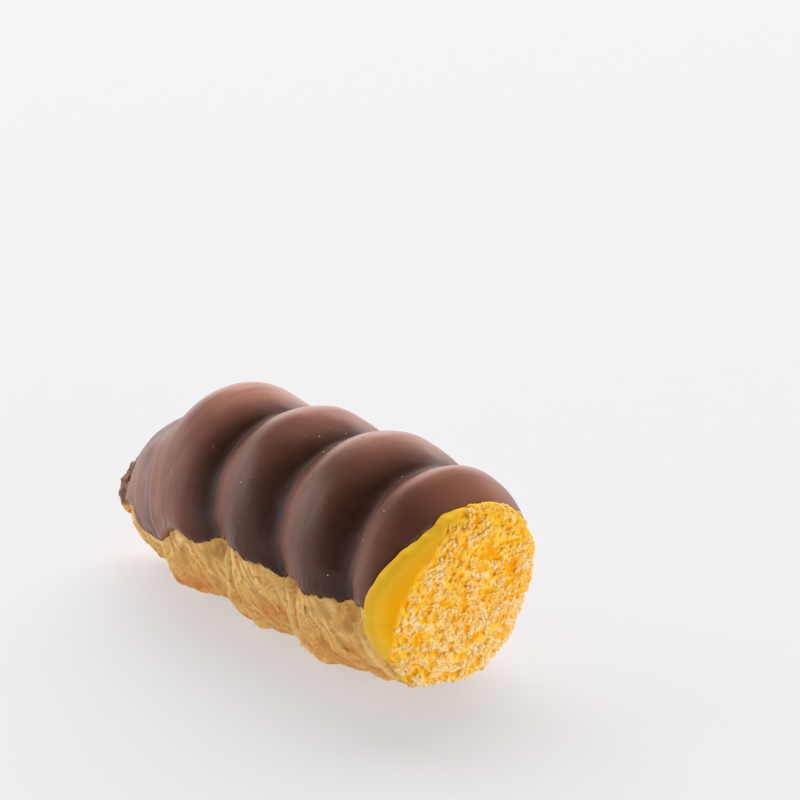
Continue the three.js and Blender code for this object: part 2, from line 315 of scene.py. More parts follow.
class HornForm(bpy.types.PropertyGroup):
    """Driving sizes of the horn."""

    shell_length: length("Shell length", "From the tail to the rim along the axis", 0.1158)
    tail_side_radius: length("Tail side radius", "Radius of the crests, carried back to the tail", 0.0230)
    mouth_side_radius: length("Mouth side radius", "Radius of the crests, carried on to the rim", 0.0249)
    tip_radius: length("Tip radius", "Radius at the very tail", 0.0053)
    tail_length: length("Tail length", "Length over which the tail tapers", 0.0376)
    mouth_length: length("Mouth length", "Length over which the mouth rounds inwards", 0.0265)
    rim_radius: length("Rim radius", "Mean radius of the rim", 0.0183)
    pitch: length("Pitch", "Advance of the strip in one turn", 0.02505)
    first_groove: length("First groove", "Station of the groove on top between the first two turns", 0.0502)
    groove_depth: length("Groove depth", "Depth of the grooves between turns", 0.00535)
    axis_height: length("Axis height", "Height of the axis over the floor", 0.0226)
    bore_radius: length("Bore radius", "Radius of the hollow that holds the filling", 0.0142)
    bore_start: length("Bore start", "Station where the hollow begins", 0.0150)
    bore_taper: length("Bore taper", "Length over which the hollow widens", 0.0260)


class PastryLook(bpy.types.PropertyGroup):
    """Flakes and colours of the baked strip."""

    layer_step: length("Layer step", "Height of one flake edge", 0.00045)
    lip_height: length("Lip height", "Height of the strip's raised edge", 0.0012)
    crumple: length("Crumple", "Height of the streaks and the grit", 0.00028)
    swell: length("Swell", "Height of the slow lumps", 0.0008)
    gold: tint("Gold", "Main colour of the baked strip", (0.88, 0.475, 0.10))
    # The pale colour also paints highlights on the lip and the raised flake edges
    pale: tint("Pale", "Colour of raised flake edges", (1.0, 0.73, 0.32))
    # The window colour also paints shade where a flake runs under the next one
    window: tint("Window", "Colour of thin places in the strip", (0.56, 0.31, 0.065))
    brown: tint("Brown", "Colour of browned places", (0.82, 0.33, 0.08))
    smear: tint("Smear", "Colour of chocolate smeared on the tail", (0.36, 0.20, 0.145))
    # The pit colour is painted shade in the tail's pits and the dish's middle
    pit: tint("Pit", "Colour of the pits in the tail", (0.07, 0.03, 0.02))
    flakes: count_of("Flakes", "Number of loose flakes", 60)


class ChocolateLook(bpy.types.PropertyGroup):
    """Thickness and colour of the coat."""

    thickness: length("Thickness", "Height of the coat over the pastry", 0.0011)
    lift: length("Lift", "Gap between the coat and the pastry", 0.0001)
    start: length("Start", "Station where the coat begins at the tail", 0.0045)
    edge_rounding: length("Edge rounding", "Width over which the edge rounds off", 0.0011)
    ripple: length("Ripple", "Height of the fine ripples that run round the horn", 0.00005)
    ridge: length("Ridge", "Height of the ridges and folds under the coat", 0.0003)
    unevenness: length("Unevenness", "Height of the slow unevenness of the coat", 0.0003)
    # Brown is the coat in painted shade and light brown the coat in painted light, blended by the mark called
    # thin, which carries painted light and shade, not the coat's thickness
    brown: tint("Brown", "Colour of the chocolate", (0.038, 0.0137, 0.0088))
    light_brown: tint("Light brown", "Colour where the coat is thin", (0.345, 0.150, 0.100))
    roughness: share_of_one("Roughness", "Roughness of the satin surface", 0.34)
    specks: count_of("Specks", "Number of pale specks on the coat", 70)
    speck: tint("Speck", "Colour of the specks", (0.80, 0.66, 0.50))


class CustardLook(bpy.types.PropertyGroup):
    """Dome and colour of the filling."""

    gap: length("Gap", "Clearance to the pastry and the coat", 0.0003)
    dome_height: length("Dome height", "Height of the face over the rim", 0.0054)
    overhang: length("Overhang", "How far the filling stands out over the coat's edge", 0.0016)
    yellow: tint("Yellow", "Colour of the custard", (0.84, 0.42, 0.001))
    edge: tint("Edge", "Colour of the custard's thin edge", (0.92, 0.565, 0.045))
    bed: tint("Crumb bed", "Colour of the crumb layer", (1.0, 0.59, 0.05))
    deep: tint("Deep", "Colour in the pits of the crumb layer", (0.92, 0.41, 0.012))
    tips: tint("Tips", "Colour of the crust on the crumb layer", (1.0, 0.73, 0.37))


class CrumbLook(bpy.types.PropertyGroup):
    """Crumbs on the face of the filling."""

    smallest: length("Smallest", "Radius of the smallest crumb", 0.00015)
    largest: length("Largest", "Radius of the largest crumb", 0.00055)
    pale_count: count_of("Pale crumbs", "Number of pale crumbs", 1500)
    golden_count: count_of("Golden crumbs", "Number of golden crumbs", 1500)
    amber_count: count_of("Amber crumbs", "Number of amber crumbs", 150)
    pale: tint("Pale", "Colour of the pale crumbs", (1.0, 0.79, 0.46))
    golden: tint("Golden", "Colour of the golden crumbs", (1.0, 0.66, 0.17))
    amber: tint("Amber", "Colour of the amber crumbs", (0.94, 0.47, 0.05))


class StageLook(bpy.types.PropertyGroup):
    """Camera, floor and light."""

    azimuth: angle_of("Azimuth", "Turn of the camera from the near side towards the mouth", 55.61)
    elevation: angle_of("Elevation", "Height of the camera over the horizon", 19.39)
    distance: length("Distance", "Distance of the camera from the horn", 0.5671)
    aim: bpy.props.FloatVectorProperty(
        name="Aim", description="Place in the horn that the camera is set from", size=3,
        default=(-0.0027, -0.0006, 0.022), subtype="XYZ", unit="LENGTH",
    )
    aim_column: amount_of("Aim column", "Column of the frame where that place falls", 297.1)
    aim_row: amount_of("Aim row", "Row of the frame where that place falls", 519.4)
    frame_pixels: amount_of("Frame", "Width and height of the frame in pixels", 800)
    focal_pixels: amount_of("Focal length", "Focal length in pixels of the frame", 2600)
    floor_colour: tint("Floor", "Colour of the floor", (0.235, 0.231, 0.238))
    floor_glow: amount_of("Floor glow", "Light that shines through the floor", 0.44)
    sky_colour: tint("Surroundings", "Colour of the pale surroundings", (0.985, 0.98, 1.0))
    near_strength: amount_of("Near strength", "Brightness of the surroundings low on the near side", 0.08)
    far_strength: amount_of("Far strength", "Brightness of the surroundings low on the far side", 0.62)
    tail_strength: amount_of("Tail strength", "Extra brightness low beyond the tail", 0.85)
    mouth_strength: amount_of("Mouth strength", "Extra brightness low beyond the mouth", 4.3)
    top_strength: amount_of("Top strength", "Brightness of the surroundings above", 0.1)
    key_strength: amount_of("Key strength", "Strength of the soft light from behind the tail", 4.0)
    fill_strength: amount_of("Fill strength", "Strength of the soft light from beyond the tail", 1.7)
    key_spread: angle_of("Light spread", "Apparent width of the soft lights", 70)


class CreamHornSettings(bpy.types.PropertyGroup):
    """All settings of the horn."""

    form: bpy.props.PointerProperty(type=HornForm)
    pastry: bpy.props.PointerProperty(type=PastryLook)
    chocolate: bpy.props.PointerProperty(type=ChocolateLook)
    custard: bpy.props.PointerProperty(type=CustardLook)
    crumbs: bpy.props.PointerProperty(type=CrumbLook)
    stage: bpy.props.PointerProperty(type=StageLook)


# Small functions of arrays


def clipped(value):
    """Value held between 0 and 1."""
    return np.clip(value, 0.0, 1.0)


def smooth(value):
    """Eased step: 0 below 0, 1 above 1, and three squares less two cubes between."""
    value = clipped(value)
    return value * value * (3.0 - 2.0 * value)


def eased(value, limits):
    """Eased step from 0 at the first limit to 1 at the second one, which may be the lower of the two."""
    begin, full = limits
    return smooth((value - begin) / (full - begin))


def mix(first, second, share):
    """Straight blend, first at share 0 and second at share 1."""
    return first + (second - first) * share


def bell(value, spot):
    """The spot's height times e to the minus square of the distance from its middle over its width."""
    return spot.height * np.exp(-(((value - spot.middle) / spot.width) ** 2))


def degrees_from(angle, middle):
    """Angle less a middle in degrees, brought between -180 and 180 degrees."""
    return (np.degrees(angle) - middle + 180.0) % 360.0 - 180.0


def degrees_down(angle):
    """Degrees from the top of the horn, the same down both sides."""
    return np.abs(degrees_from(angle, 0.0))


def bell_round(angle, spot):
    """A bell over the angle round the horn, with its middle and width in degrees."""
    return bell(degrees_from(angle, spot.middle), Bell(spot.height, 0.0, spot.width))


def stacked(*parts):
    """Coordinates of arrays that fit each other, side by side along a last axis."""
    return np.stack(np.broadcast_arrays(*parts), axis=-1)


def unit(vectors):
    """Vectors divided by their lengths."""
    return vectors / np.linalg.norm(vectors, axis=-1, keepdims=True)


def lattice_value(cells, seed):
    """Number from -1 to 1 for each lattice point: its places times large odd numbers, then mixed bits."""
    mask = 0xFFFFFFFF
    mixed = (cells[..., 0] * 374761393 + cells[..., 1] * 668265263 + cells[..., 2] * 1440662683) & mask
    mixed = (mixed + seed * 1013904223) & mask
    mixed = ((mixed ^ (mixed >> 13)) * 1274126177) & mask
    mixed = ((mixed ^ (mixed >> 15)) * 2246822519) & mask
    return (mixed ^ (mixed >> 16)) / 0x7FFFFFFF - 1.0


def noise(points, seed):
    """Gradient noise from about -1 to 1: at each corner of a point's lattice cell a hashed slope times the
    offset from that corner, blended by a five power ease along the three axes."""
    cells = np.floor(points).astype(np.int64)
    inside = points - cells
    ease = inside**3 * (inside * (inside * 6.0 - 15.0) + 10.0)
    total = 0.0
    for corner in range(8):
        step = np.array([corner & 1, (corner >> 1) & 1, corner >> 2])
        weight = np.prod(np.where(step == 1, ease, 1.0 - ease), axis=-1)
        offset = inside - step
        slope = sum(lattice_value(cells + step, seed + axis * 101) * offset[..., axis] for axis in range(3))
        total = total + weight * slope
    return total * 1.4


def rough(points, octaves, seed):
    """Sum of noise at doubling fineness and halving height."""
    return sum(noise(points * 2.0**order, seed + 7 * order) / 2.0**order for order in range(octaves))


def grained(grain, first, second, shift=0.0):
    """Noise over two coordinates, each divided by the grain's size along it, the first one also shifted."""
    places = stacked(first / grain.first + shift, second / grain.second, grain.slice)
    return rough(places, grain.octaves, grain.seed)


def ringed(ring, angle):
    """Noise round the horn, read on a circle, so that it closes."""
    places = stacked(np.cos(angle) * ring.radius, np.sin(angle) * ring.radius, ring.slice)
    return rough(places, ring.octaves, ring.seed)


def clouded(cloud, points):
    """Noise in space, with the points divided by the cloud's size."""
    return rough(points / cloud.size, cloud.octaves, cloud.seed)


# Form of the horn


def rim_radius(form, angle):
    """Mean rim radius plus one bell and less two, round the horn."""
    flats = bell_round(angle, RIM_FLAT) + bell_round(angle, RIM_FAR_FLAT)
    return form.rim_radius + bell_round(angle, RIM_BULGE) - flats


def crest_radius(form, station, angle):
    """Radius over the crests: a power curve from the tip to the side, which is taller than wide by a double
    cosine, then a power curve into the rim, less a shallow hollow on the near side of the tail."""
    side = mix(form.tail_side_radius, form.mouth_side_radius, station / form.shell_length)
    side = side + TALLNESS * np.cos(2.0 * (angle - TALL_ANGLE))
    nose = 1.0 - (1.0 - clipped(station / form.tail_length)) ** TAIL_POWER
    body = mix(form.tip_radius, side, nose)
    lip = clipped(1.0 - (form.shell_length - station) / form.mouth_length)
    hollow = bell(station, TAIL_HOLLOW) * bell_round(angle, TAIL_HOLLOW_ROUND)
    return mix(body, rim_radius(form, angle), lip**MOUTH_ROUNDING) - hollow


def leaning_station(form, station, angle):
    """Station moved along the axis by the rim's lean times a cosine of the angle, eased in near the mouth."""
    share = smooth(1.0 - (form.shell_length - station) / RIM_LEAN_REACH)
    return station + RIM_LEAN * np.cos(angle - RIM_LEAN_ANGLE) * share


def strip_turns(form, along, angle):
    """Turns of the strip from its first groove: the advance over the pitch, stretched towards the tail, less
    the angle in turns, plus two cosines for the strip's sway. Whole numbers lie in the grooves."""
    advance = (along - form.first_groove) / form.pitch
    stretched = advance + TAIL_STRETCH * np.minimum(advance, 0.0) ** 2
    sway = SWAY * np.cos(angle - SWAY_ANGLE) + DOUBLE_SWAY * np.cos(2.0 * (angle - DOUBLE_SWAY_ANGLE))
    return stretched - angle / TURN + sway


def strip_section(fraction, bareness, flank):
    """Height of the strip from 0 in a groove to 1 on its crest. Coated, it is a blend of an arc and a wave on
    top, and on the flanks a blend of a half sine and a wave whose crest lies towards the mouth. Bare, it
    steps up at its tail side edge and falls in a straight line."""
    across = fraction ** (1.0 - COATED_SKEW)
    soft = math.sqrt(GROOVE_SOFTNESS)
    side = np.sqrt((2.0 * across - 1.0) ** 2 + GROOVE_SOFTNESS) - soft
    full = math.sqrt(1.0 + GROOVE_SOFTNESS) - soft
    arc = np.maximum(1.0 - (side / full) ** 2, 0.0) ** GROOVE_ARC_POWER
    top = mix(arc, (1.0 - np.cos(TURN * across)) / 2.0, GROOVE_WAVE_SHARE)
    slanted = np.interp(fraction, (0.0, FLANK_CREST, 1.0), (0.0, 0.5, 1.0))
    slope = mix(np.sin(np.pi * slanted), (1.0 - np.cos(TURN * slanted)) / 2.0, FLANK_WAVE_SHARE)
    bared = smooth(fraction / BARE_EDGE) * mix(1.0, BARE_FALL, fraction)
    return mix(mix(top, slope, flank), bared, bareness)


def flank_share(angle):
    """Eased step from the top of the horn to its flanks."""
    return eased(degrees_down(angle), FLANK_DEGREES)


def wound_radius(form, station, angle, reach=0.0):
    """Crest radius less the groove depth times one minus the strip's section. The grooves fade at both ends
    and are partly filled on the flanks over the coat's edge. A reach averages the section over that share of
    the strip to both sides, which rounds the grooves out."""
    turns = strip_turns(form, leaning_station(form, station, angle), angle)
    fraction = turns - np.floor(turns)
    bareness = eased(degrees_down(angle), BARE_DEGREES)
    flank = flank_share(angle)
    samples = SECTION_SAMPLES if np.any(reach) else 1
    places = [(fraction + side * reach) % 1.0 for side in np.linspace(-1.0, 1.0, samples)]
    section = sum(strip_section(place, bareness, flank) for place in places) / samples
    tail_fade = smooth((station - TAIL_FADE_START) / TAIL_FADE_LENGTH)
    near_mouth = smooth(1.0 - (form.shell_length - station) / MOUTH_FADE_LENGTH)
    groove = form.groove_depth * (1.0 - section) * tail_fade * (1.0 - MOUTH_FADE_SHARE * near_mouth)
    near_tail = smooth((TAIL_FILL_END - station) / TAIL_FILL_LENGTH)
    above_edge = 1.0 - smooth((degrees_down(angle) - FILL_FADE_START) / FILL_FADE_WIDTH - near_tail)
    fill = mix(FLANK_FILL, TAIL_FILL, near_tail)
    return crest_radius(form, station, angle) - groove * (1.0 - fill * flank * above_edge)


def point_at(form, along, angle, radius):
    """Point at a distance along the bent axis, an angle and a radius. Its height is pressed flat at the floor
    by half the sum of the height and the root of its square plus a small square."""
    bend = 1.0 - smooth(along / TAIL_BEND_LENGTH)
    axis = form.axis_height + AXIS_RISE * (along - BOX_MIDDLE) - TAIL_DOWN * bend
    height = axis + radius * np.cos(angle)
    side = BOX_SIDE - radius * np.sin(angle) - TAIL_NEAR * bend
    pressed = (height + np.hypot(height, FLOOR_SOFTNESS)) / 2.0 - FLOOR_SINK
    return stacked(along - BOX_MIDDLE, side, np.maximum(pressed, 0.0))


def surface_point(form, station, angle, radius):
    """Point at a radius over a station, which leans with the rim."""
    return point_at(form, leaning_station(form, station, angle), angle, radius)


def bore_radius(form, station, angle):
    """Radius of the hollow: a rounded nose that widens to a cylinder, with a wall kept at the rim's flats."""
    widest = np.minimum(form.bore_radius, rim_radius(form, angle) - RIM_WALL)
    return widest * (1.0 - (1.0 - clipped((station - form.bore_start) / form.bore_taper)) ** 2)


def strip_place(form, station, angle):
    """Fraction across the strip from its tail side edge, and distance along the unrolled strip: the angle
    plus whole turns, times the mouth side radius."""
    wrapped = np.radians(degrees_from(angle, 0.0))
    turns = strip_turns(form, leaning_station(form, station, wrapped), wrapped)
    whole = np.floor(turns)
    return turns - whole, (wrapped + TURN * whole) * form.mouth_side_radius


# Lower edge of the coat


def edge_angle(station, side):
    """Angle of the coat's lower edge, positive on both sides: a level angle, bells along the horn, and a
    coarse and a fine ragged noise. Side is 1 on the near side and -1 on the far side."""
    level, drops = (NEAR_EDGE, NEAR_DROPS) if side > 0 else (FAR_EDGE, FAR_DROPS)
    smooth_edge = level + sum(bell(station, drop) for drop in drops)
    rags = EDGE_RAG_DEGREES * grained(EDGE_RAGS, station, side)
    return np.radians(smooth_edge + rags + EDGE_FRINGE_DEGREES * grained(EDGE_FRINGE, station, side))


def below_edge(form, station, angle):
    """Distance round the horn below the coat's lower edge, negative where the coat lies over the pastry."""
    wrapped = np.radians(degrees_from(angle, 0.0))
    edge = np.where(wrapped > 0.0, edge_angle(station, 1.0), edge_angle(station, -1.0))
    return (np.abs(wrapped) - edge) * form.mouth_side_radius


# Flakes of the bare strip


def patched(patches, station, angle):
    """Highest of some patches, each a bell along the horn times a bell round it."""
    shares = []
    for patch in patches:
        along = bell(station, Bell(1.0, patch.station, patch.length))
        shares.append(along * bell_round(angle, Bell(1.0, patch.middle, patch.turn)))
    return np.max(np.stack(np.broadcast_arrays(*shares)), axis=0)


def terraces(level, riser):
    """Steps: the whole part of a level, plus an eased rise over the last share of its fraction."""
    whole = np.floor(level)
    return whole + smooth((level - whole - 1.0 + riser) / riser)


def strip_flakes(form, look, station, angle):
    """Flakes of the strip. Noise drawn out along the strip is cut into terraces with fine streaks, a lip
    follows the strip's tail side edge, slow lumps swell towards the underside, and grit covers the browned
    places. The marks after the height show pale edges, which are a painted highlight on the lip and the
    flakes' free edges, thin windows with painted shade where a flake runs under the next one, and browned
    places."""
    fraction, ribbon = strip_place(form, station, angle)
    across = fraction * form.pitch
    low = eased(degrees_down(angle), UNDERSIDE_DEGREES)
    seam = eased(fraction, SEAM_TAIL_SIDE) * eased(fraction, SEAM_MOUTH_SIDE)
    drift = FLAKE_DRIFT_SHARE * grained(FLAKE_DRIFT, across, ribbon)
    level = FLAKE_MIDDLE + FLAKE_SPAN * grained(FLAKE_LAYERS, across, ribbon, drift)
    place = level - np.floor(level)
    streaks = grained(FLAKE_STREAKS, across, ribbon, drift)
    lip = bell(fraction, STRIP_LIP) * (0.85 + 0.6 * grained(STRIP_LIP_WAVES, ribbon, STRIP_LIP_SLICE))

    window = eased(grained(THIN_PLACES, across, ribbon), THIN_LIMITS) * mix(1.0, 0.25, low)
    window = window * eased(fraction, WINDOW_TAIL_SIDE) * eased(fraction, WINDOW_MOUTH_SIDE)
    window = np.maximum(window, patched(WINDOW_PATCHES, station, angle))
    browned = grained(BROWNING, across, ribbon)
    toast = clipped(low * (0.38 + 1.5 * browned) + 0.3 * eased(browned, BROWNING_LIMITS))
    toast = np.maximum(toast, patched(BROWN_PATCHES, station, angle) * clipped(0.8 + browned))

    height = look.layer_step * (terraces(level, FLAKE_RISER) - FLAKE_MIDDLE) * seam
    height = height + look.crumple * (streaks + 1.6 * toast * grained(GRIT, across, ribbon))
    height = height + look.swell * grained(LUMPS, across, ribbon) * mix(0.35, 1.0, low)
    height = height * mix(1.0, 0.4, window) - WINDOW_DEPTH * window + look.lip_height * lip

    free_edge = eased(place, FREE_EDGE)
    covered = eased(place, COVERED_EDGE)
    # Painted highlight: pale on the lip and on the flakes' free edges, with paler streaks and a paler upper
    # side
    pale = clipped(lip + 0.75 * free_edge * seam + 0.35 * (1.0 - low) + 0.4 * streaks)
    pale = pale * mix(1.0, 0.2, window)
    # Painted shade: the window mark darkens where a flake runs under the next one
    window = clipped(window + 0.45 * covered * seam * (1.0 - lip))
    return height, pale, window, toast


def pastry_relief(form, look, station, angle):
    """Flakes below the coat's edge. The tail end is a flared, ragged lip with pits, darkened as painted
    shade, and with smears of chocolate on its upper half."""
    height, *marks = strip_flakes(form, look, station, angle)
    bare = eased(below_edge(form, station, angle), BARE_DISTANCES)
    bare = np.maximum(bare, eased(station, TAIL_BARE_STATIONS))
    pale, window, toast = (mark * bare for mark in marks)
    ragged = ringed(TAIL_RAGS._replace(slice=station / TAIL_RAG_LENGTH), angle)
    pit = bell(station, TAIL_PITS) * eased(ragged, TAIL_PIT_LIMITS)
    flare = mix(bell_round(angle, TAIL_FLARE_ROUND), 1.0, TAIL_FLARE_REST) * bell(station, TAIL_FLARE)
    tail = flare + (0.2 + 1.1 * ragged) * bell(station, TAIL_LIP) - TAIL_PIT_DEPTH * pit
    smear = clipped(eased(station, SMEAR_STATIONS) * (1.3 + 0.6 * ragged))
    smear = smear * eased(degrees_down(angle), SMEAR_DEGREES)
    # The pit mark paints shade into the pits, only down to the flanks
    pit = pit * eased(degrees_down(angle), TAIL_PIT_DEGREES)
    return Relief(height * bare + tail, pale, window, toast, smear, pit)


def pastry_radius(form, look, station, angle):
    """Wound radius plus the flakes' relief."""
    return wound_radius(form, station, angle) + pastry_relief(form, look, station, angle).height


# Coat


def coat_radius(form, look, station, angle):
    """Radius of the coat away from its edges: the wound radius with rounded grooves plus the thickness, a low
    step over the strip's tail side edge on the flanks, folds and ripples that run round and are strongest
    near the tail, and a slow unevenness."""
    turns = strip_turns(form, leaning_station(form, station, angle), angle)
    fraction = turns - np.floor(turns)
    tail = eased(station, COAT_TAIL_STATIONS)
    step = eased(fraction, COAT_STEP_RISE) * eased(fraction, COAT_STEP_FALL)
    step = step * (0.4 + 0.7 * grained(COAT_STEP_WAVES, turns, angle))
    folds = 0.8 * grained(COAT_FOLDS, turns, angle) + 0.25 * grained(COAT_FINE_FOLDS, turns, angle)
    glint = bell(fraction, COAT_GLINT) * clipped(0.4 + grained(COAT_GLINT_WAVES, turns, angle))
    relief = look.ridge * flank_share(angle) * (step + glint * (1.0 - tail) + tail * folds)
    relief = relief + look.unevenness * grained(COAT_SLOW_WAVES, station, angle)
    relief = relief + look.ripple * grained(COAT_RIPPLES, station, angle) * (0.6 + 0.3 * tail)
    return wound_radius(form, station, angle, COAT_REACH) + look.thickness + relief


def painted_coat_light(form, station, angle):
    """Share of painted light in the coat's colour, standing for light and shade, not for a thin coat: high on
    top, towards the tail and on the slopes that face the tail, as painted light, and low on the slopes that
    face the mouth and in the grooves, as painted shade. It falls again down the tail's end and down the far
    side."""
    fraction = strip_place(form, station, angle)[0]
    groove_end = eased(fraction, GROOVE_END)
    top = eased(np.cos(angle + LIGHT_TURN), LIGHT_TOP)
    tail = eased(station, LIGHT_STATIONS)
    facing = eased(fraction, LIGHT_SLOPE) * groove_end * flank_share(angle)
    # Painted shade on the slopes that face the mouth and in the grooves
    shaded = np.maximum(eased(fraction, SHADE_SLOPE), 1.0 - groove_end)
    shaded = shaded * eased(station, SHADE_STATIONS)
    degrees = degrees_from(angle, 0.0)
    tail_end = eased(station, TAIL_END_STATIONS) * eased(degrees, TAIL_END_DEGREES)
    far_side = eased(degrees, FAR_SIDE_DEGREES)
    kept = (1.0 - 0.9 * shaded) * (1.0 - np.maximum(0.67 * tail_end, 0.4 * far_side))
    return (0.31 + 0.56 * top + 0.42 * tail + 0.3 * facing) * kept


# Face of the filling


def face_cover(angle, outward):
    """Share of crumb on the face, 1 inside a ragged line and 0 outside it. Outward is the share of the way
    from the middle of the face to its edge. The line draws back from the edge on the near upper side."""
    line = CRUMB_REACH - bell_round(angle, BARE_MARGIN) + CRUMB_RAG_HEIGHT * ringed(CRUMB_RAGS, angle)
    return smooth((line - outward) / CRUMB_FADE)


def face_point(form, look, share, angle):
    """Point on the domed face, share 0 at the rim and 1 in the middle: a power of the sine forwards and a
    power of the cosine outwards from the axis, with a wavy edge that laps back in uneven tongues."""
    turn = share * np.pi / 2.0
    forward = look.gap + look.dome_height * np.sin(turn) ** (2.0 / FACE_POWER)
    wave = FACE_WAVE_HEIGHT * ringed(FACE_WAVES, angle) + FACE_FRILL_HEIGHT * ringed(FACE_FRILL, angle)
    edge = rim_radius(form, angle) + look.overhang + wave + bell_round(angle, FACE_LUMP)
    base = mix(leaning_station(form, form.shell_length, angle), form.shell_length, share)
    back = LIP_BACK * clipped(0.35 + ringed(LIP_TONGUES, angle)) * eased(share, LIP_SHARES)
    out = edge * np.maximum(np.cos(turn), 0.0) ** (2.0 / FACE_POWER)
    return point_at(form, base + forward - back, angle, out)


def face_outward(form, points):
    """Direction out of the face at its points: away from a place on the axis behind the face."""
    return unit(points - point_at(form, form.shell_length - FACE_CENTRE_DEPTH, 0.0, 0.0))


def crumb_bed(points):
    """Height of the crumb layer from 0 in its holes to 1: slow lumps less holes where a finer noise is low
    and a few wide holes, plus grains of a fourth size, bent into the range by a soft step."""
    holes = eased(clouded(BED_HOLES, points), BED_HOLE_LIMITS)
    wide_holes = eased(clouded(BED_WIDE_HOLES, points), BED_WIDE_HOLE_LIMITS)
    bumps = 0.35 * clouded(BED_LUMPS, points) + 0.3 * clouded(BED_GRAINS, points)
    level = BED_LEVEL + bumps - 0.45 * holes - 0.45 * wide_holes
    return 1.0 / (1.0 + np.exp(BED_STEEPNESS * (0.5 - level)))


# Meshes


def closed_tube_faces(rows, columns):
    """Faces of rings of points between two poles. The first pole is point 0, and the last one comes last."""
    here = 1 + np.arange(rows * columns).reshape(rows, columns)
    beside = np.roll(here, -1, axis=1)
    quads = np.stack([here[:-1], beside[:-1], beside[1:], here[1:]], axis=-1).reshape(-1, 4)
    last = rows * columns + 1
    first_fan = np.stack([np.zeros(columns, int), beside[0], here[0]], axis=-1)
    last_fan = np.stack([here[-1], beside[-1], np.full(columns, last)], axis=-1)
    return [quads, np.concatenate([first_fan, last_fan])]


def pillow_faces(rows, columns):
    """Faces of an outer and an inner sheet on one grid that share their border. The inner sheet's own points
    come after the outer sheet's."""
    outer = np.arange(rows * columns).reshape(rows, columns)
    inner = outer.copy()
    inner[1:-1, 1:-1] = rows * columns + np.arange((rows - 2) * (columns - 2)).reshape(rows - 2, columns - 2)
    over = np.stack([outer[:-1, :-1], outer[:-1, 1:], outer[1:, 1:], outer[1:, :-1]], axis=-1)
    under = np.stack([inner[:-1, :-1], inner[1:, :-1], inner[1:, 1:], inner[:-1, 1:]], axis=-1)
    return [np.concatenate([over.reshape(-1, 4), under.reshape(-1, 4)])]


def add_piece(name, points, faces, material, marks=None, flat=False):
    """Mesh object of points and groups of faces that rides on the horn. Marks are point attributes."""
    corners = np.concatenate([group.ravel() for group in faces])
    sizes = np.concatenate([np.full(len(group), group.shape[1]) for group in faces])
    starts = np.concatenate([[0], np.cumsum(sizes)[:-1]])
    mesh = bpy.data.meshes.new(name)
    mesh.vertices.add(len(points))
    mesh.vertices.foreach_set("co", points.astype(np.float32).ravel())
    mesh.loops.add(len(corners))
    mesh.loops.foreach_set("vertex_index", corners.astype(np.int32))
    mesh.polygons.add(len(sizes))
    mesh.polygons.foreach_set("loop_start", starts.astype(np.int32))
    mesh.update(calc_edges=True)
    if mesh.validate():
        raise RuntimeError(f"{name} has faces that don't fit together")
    if flat:
        mesh.shade_flat()
    else:
        mesh.shade_smooth()
    for mark, values in (marks or {}).items():
        attribute = mesh.attributes.new(mark, "FLOAT", "POINT")
        attribute.data.foreach_set("value", values.astype(np.float32).ravel())
    mesh.materials.append(material)
    piece = bpy.data.objects.new(name, mesh)
    bpy.context.scene.collection.objects.link(piece)
    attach(piece, BODY)
    return piece


def ball(rings, columns):
    """Points and faces of a unit ball: rings at even polar angles between two poles, lowest first."""
    polar = np.pi * (1.0 + np.arange(rings)) / (rings + 1.0)
    turn = TURN * np.arange(columns) / columns
    wide = np.sin(polar)[:, None]
    places = stacked(wide * np.cos(turn), wide * np.sin(turn), -np.cos(polar)[:, None])
    points = np.concatenate([[[0.0, 0.0, -1.0]], places.reshape(-1, 3), [[0.0, 0.0, 1.0]]])
    return points, closed_tube_faces(rings, columns)


def random_turns(draw, count):
    """Turning matrices from unit quaternions of four normal draws each."""
    w, x, y, z = unit(draw.normal(size=(count, 4))).T
    rows = [
        stacked(1 - 2 * (y * y + z * z), 2 * (x * y - z * w), 2 * (x * z + y * w)),
        stacked(2 * (x * y + z * w), 1 - 2 * (x * x + z * z), 2 * (y * z - x * w)),
        stacked(2 * (x * z - y * w), 2 * (y * z + x * w), 1 - 2 * (x * x + y * y)),
    ]
    return np.stack(rows, axis=1)


def copies(shape, faces, centres, scales, turns, uneven):
    """Copies of a shape: each point stretched by its own share, then the copy scaled, turned and moved."""
    count = len(centres)
    points = shape[None] * uneven * scales[:, None, :]
    points = np.einsum("nij,nvj->nvi", turns, points) + centres[:, None, :]
    first = (np.arange(count) * len(shape))[:, None, None]
    groups = [(group[None] + first).reshape(-1, group.shape[1]) for group in faces]
    return points.reshape(-1, 3), groups


# Materials


class Wire:
    """One output of a tree's nodes. Arithmetic on wires and numbers adds Math nodes."""

    def __init__(self, recipe, socket):
        self.recipe = recipe
        self.socket = socket

    def __add__(self, other):
        return self.recipe.math("ADD", self, other)

    def __radd__(self, other):
        return self.recipe.math("ADD", other, self)

    def __sub__(self, other):
        return self.recipe.math("SUBTRACT", self, other)

    def __rsub__(self, other):
        return self.recipe.math("SUBTRACT", other, self)

    def __mul__(self, other):
        return self.recipe.math("MULTIPLY", self, other)

    def __rmul__(self, other):
        return self.recipe.math("MULTIPLY", other, self)


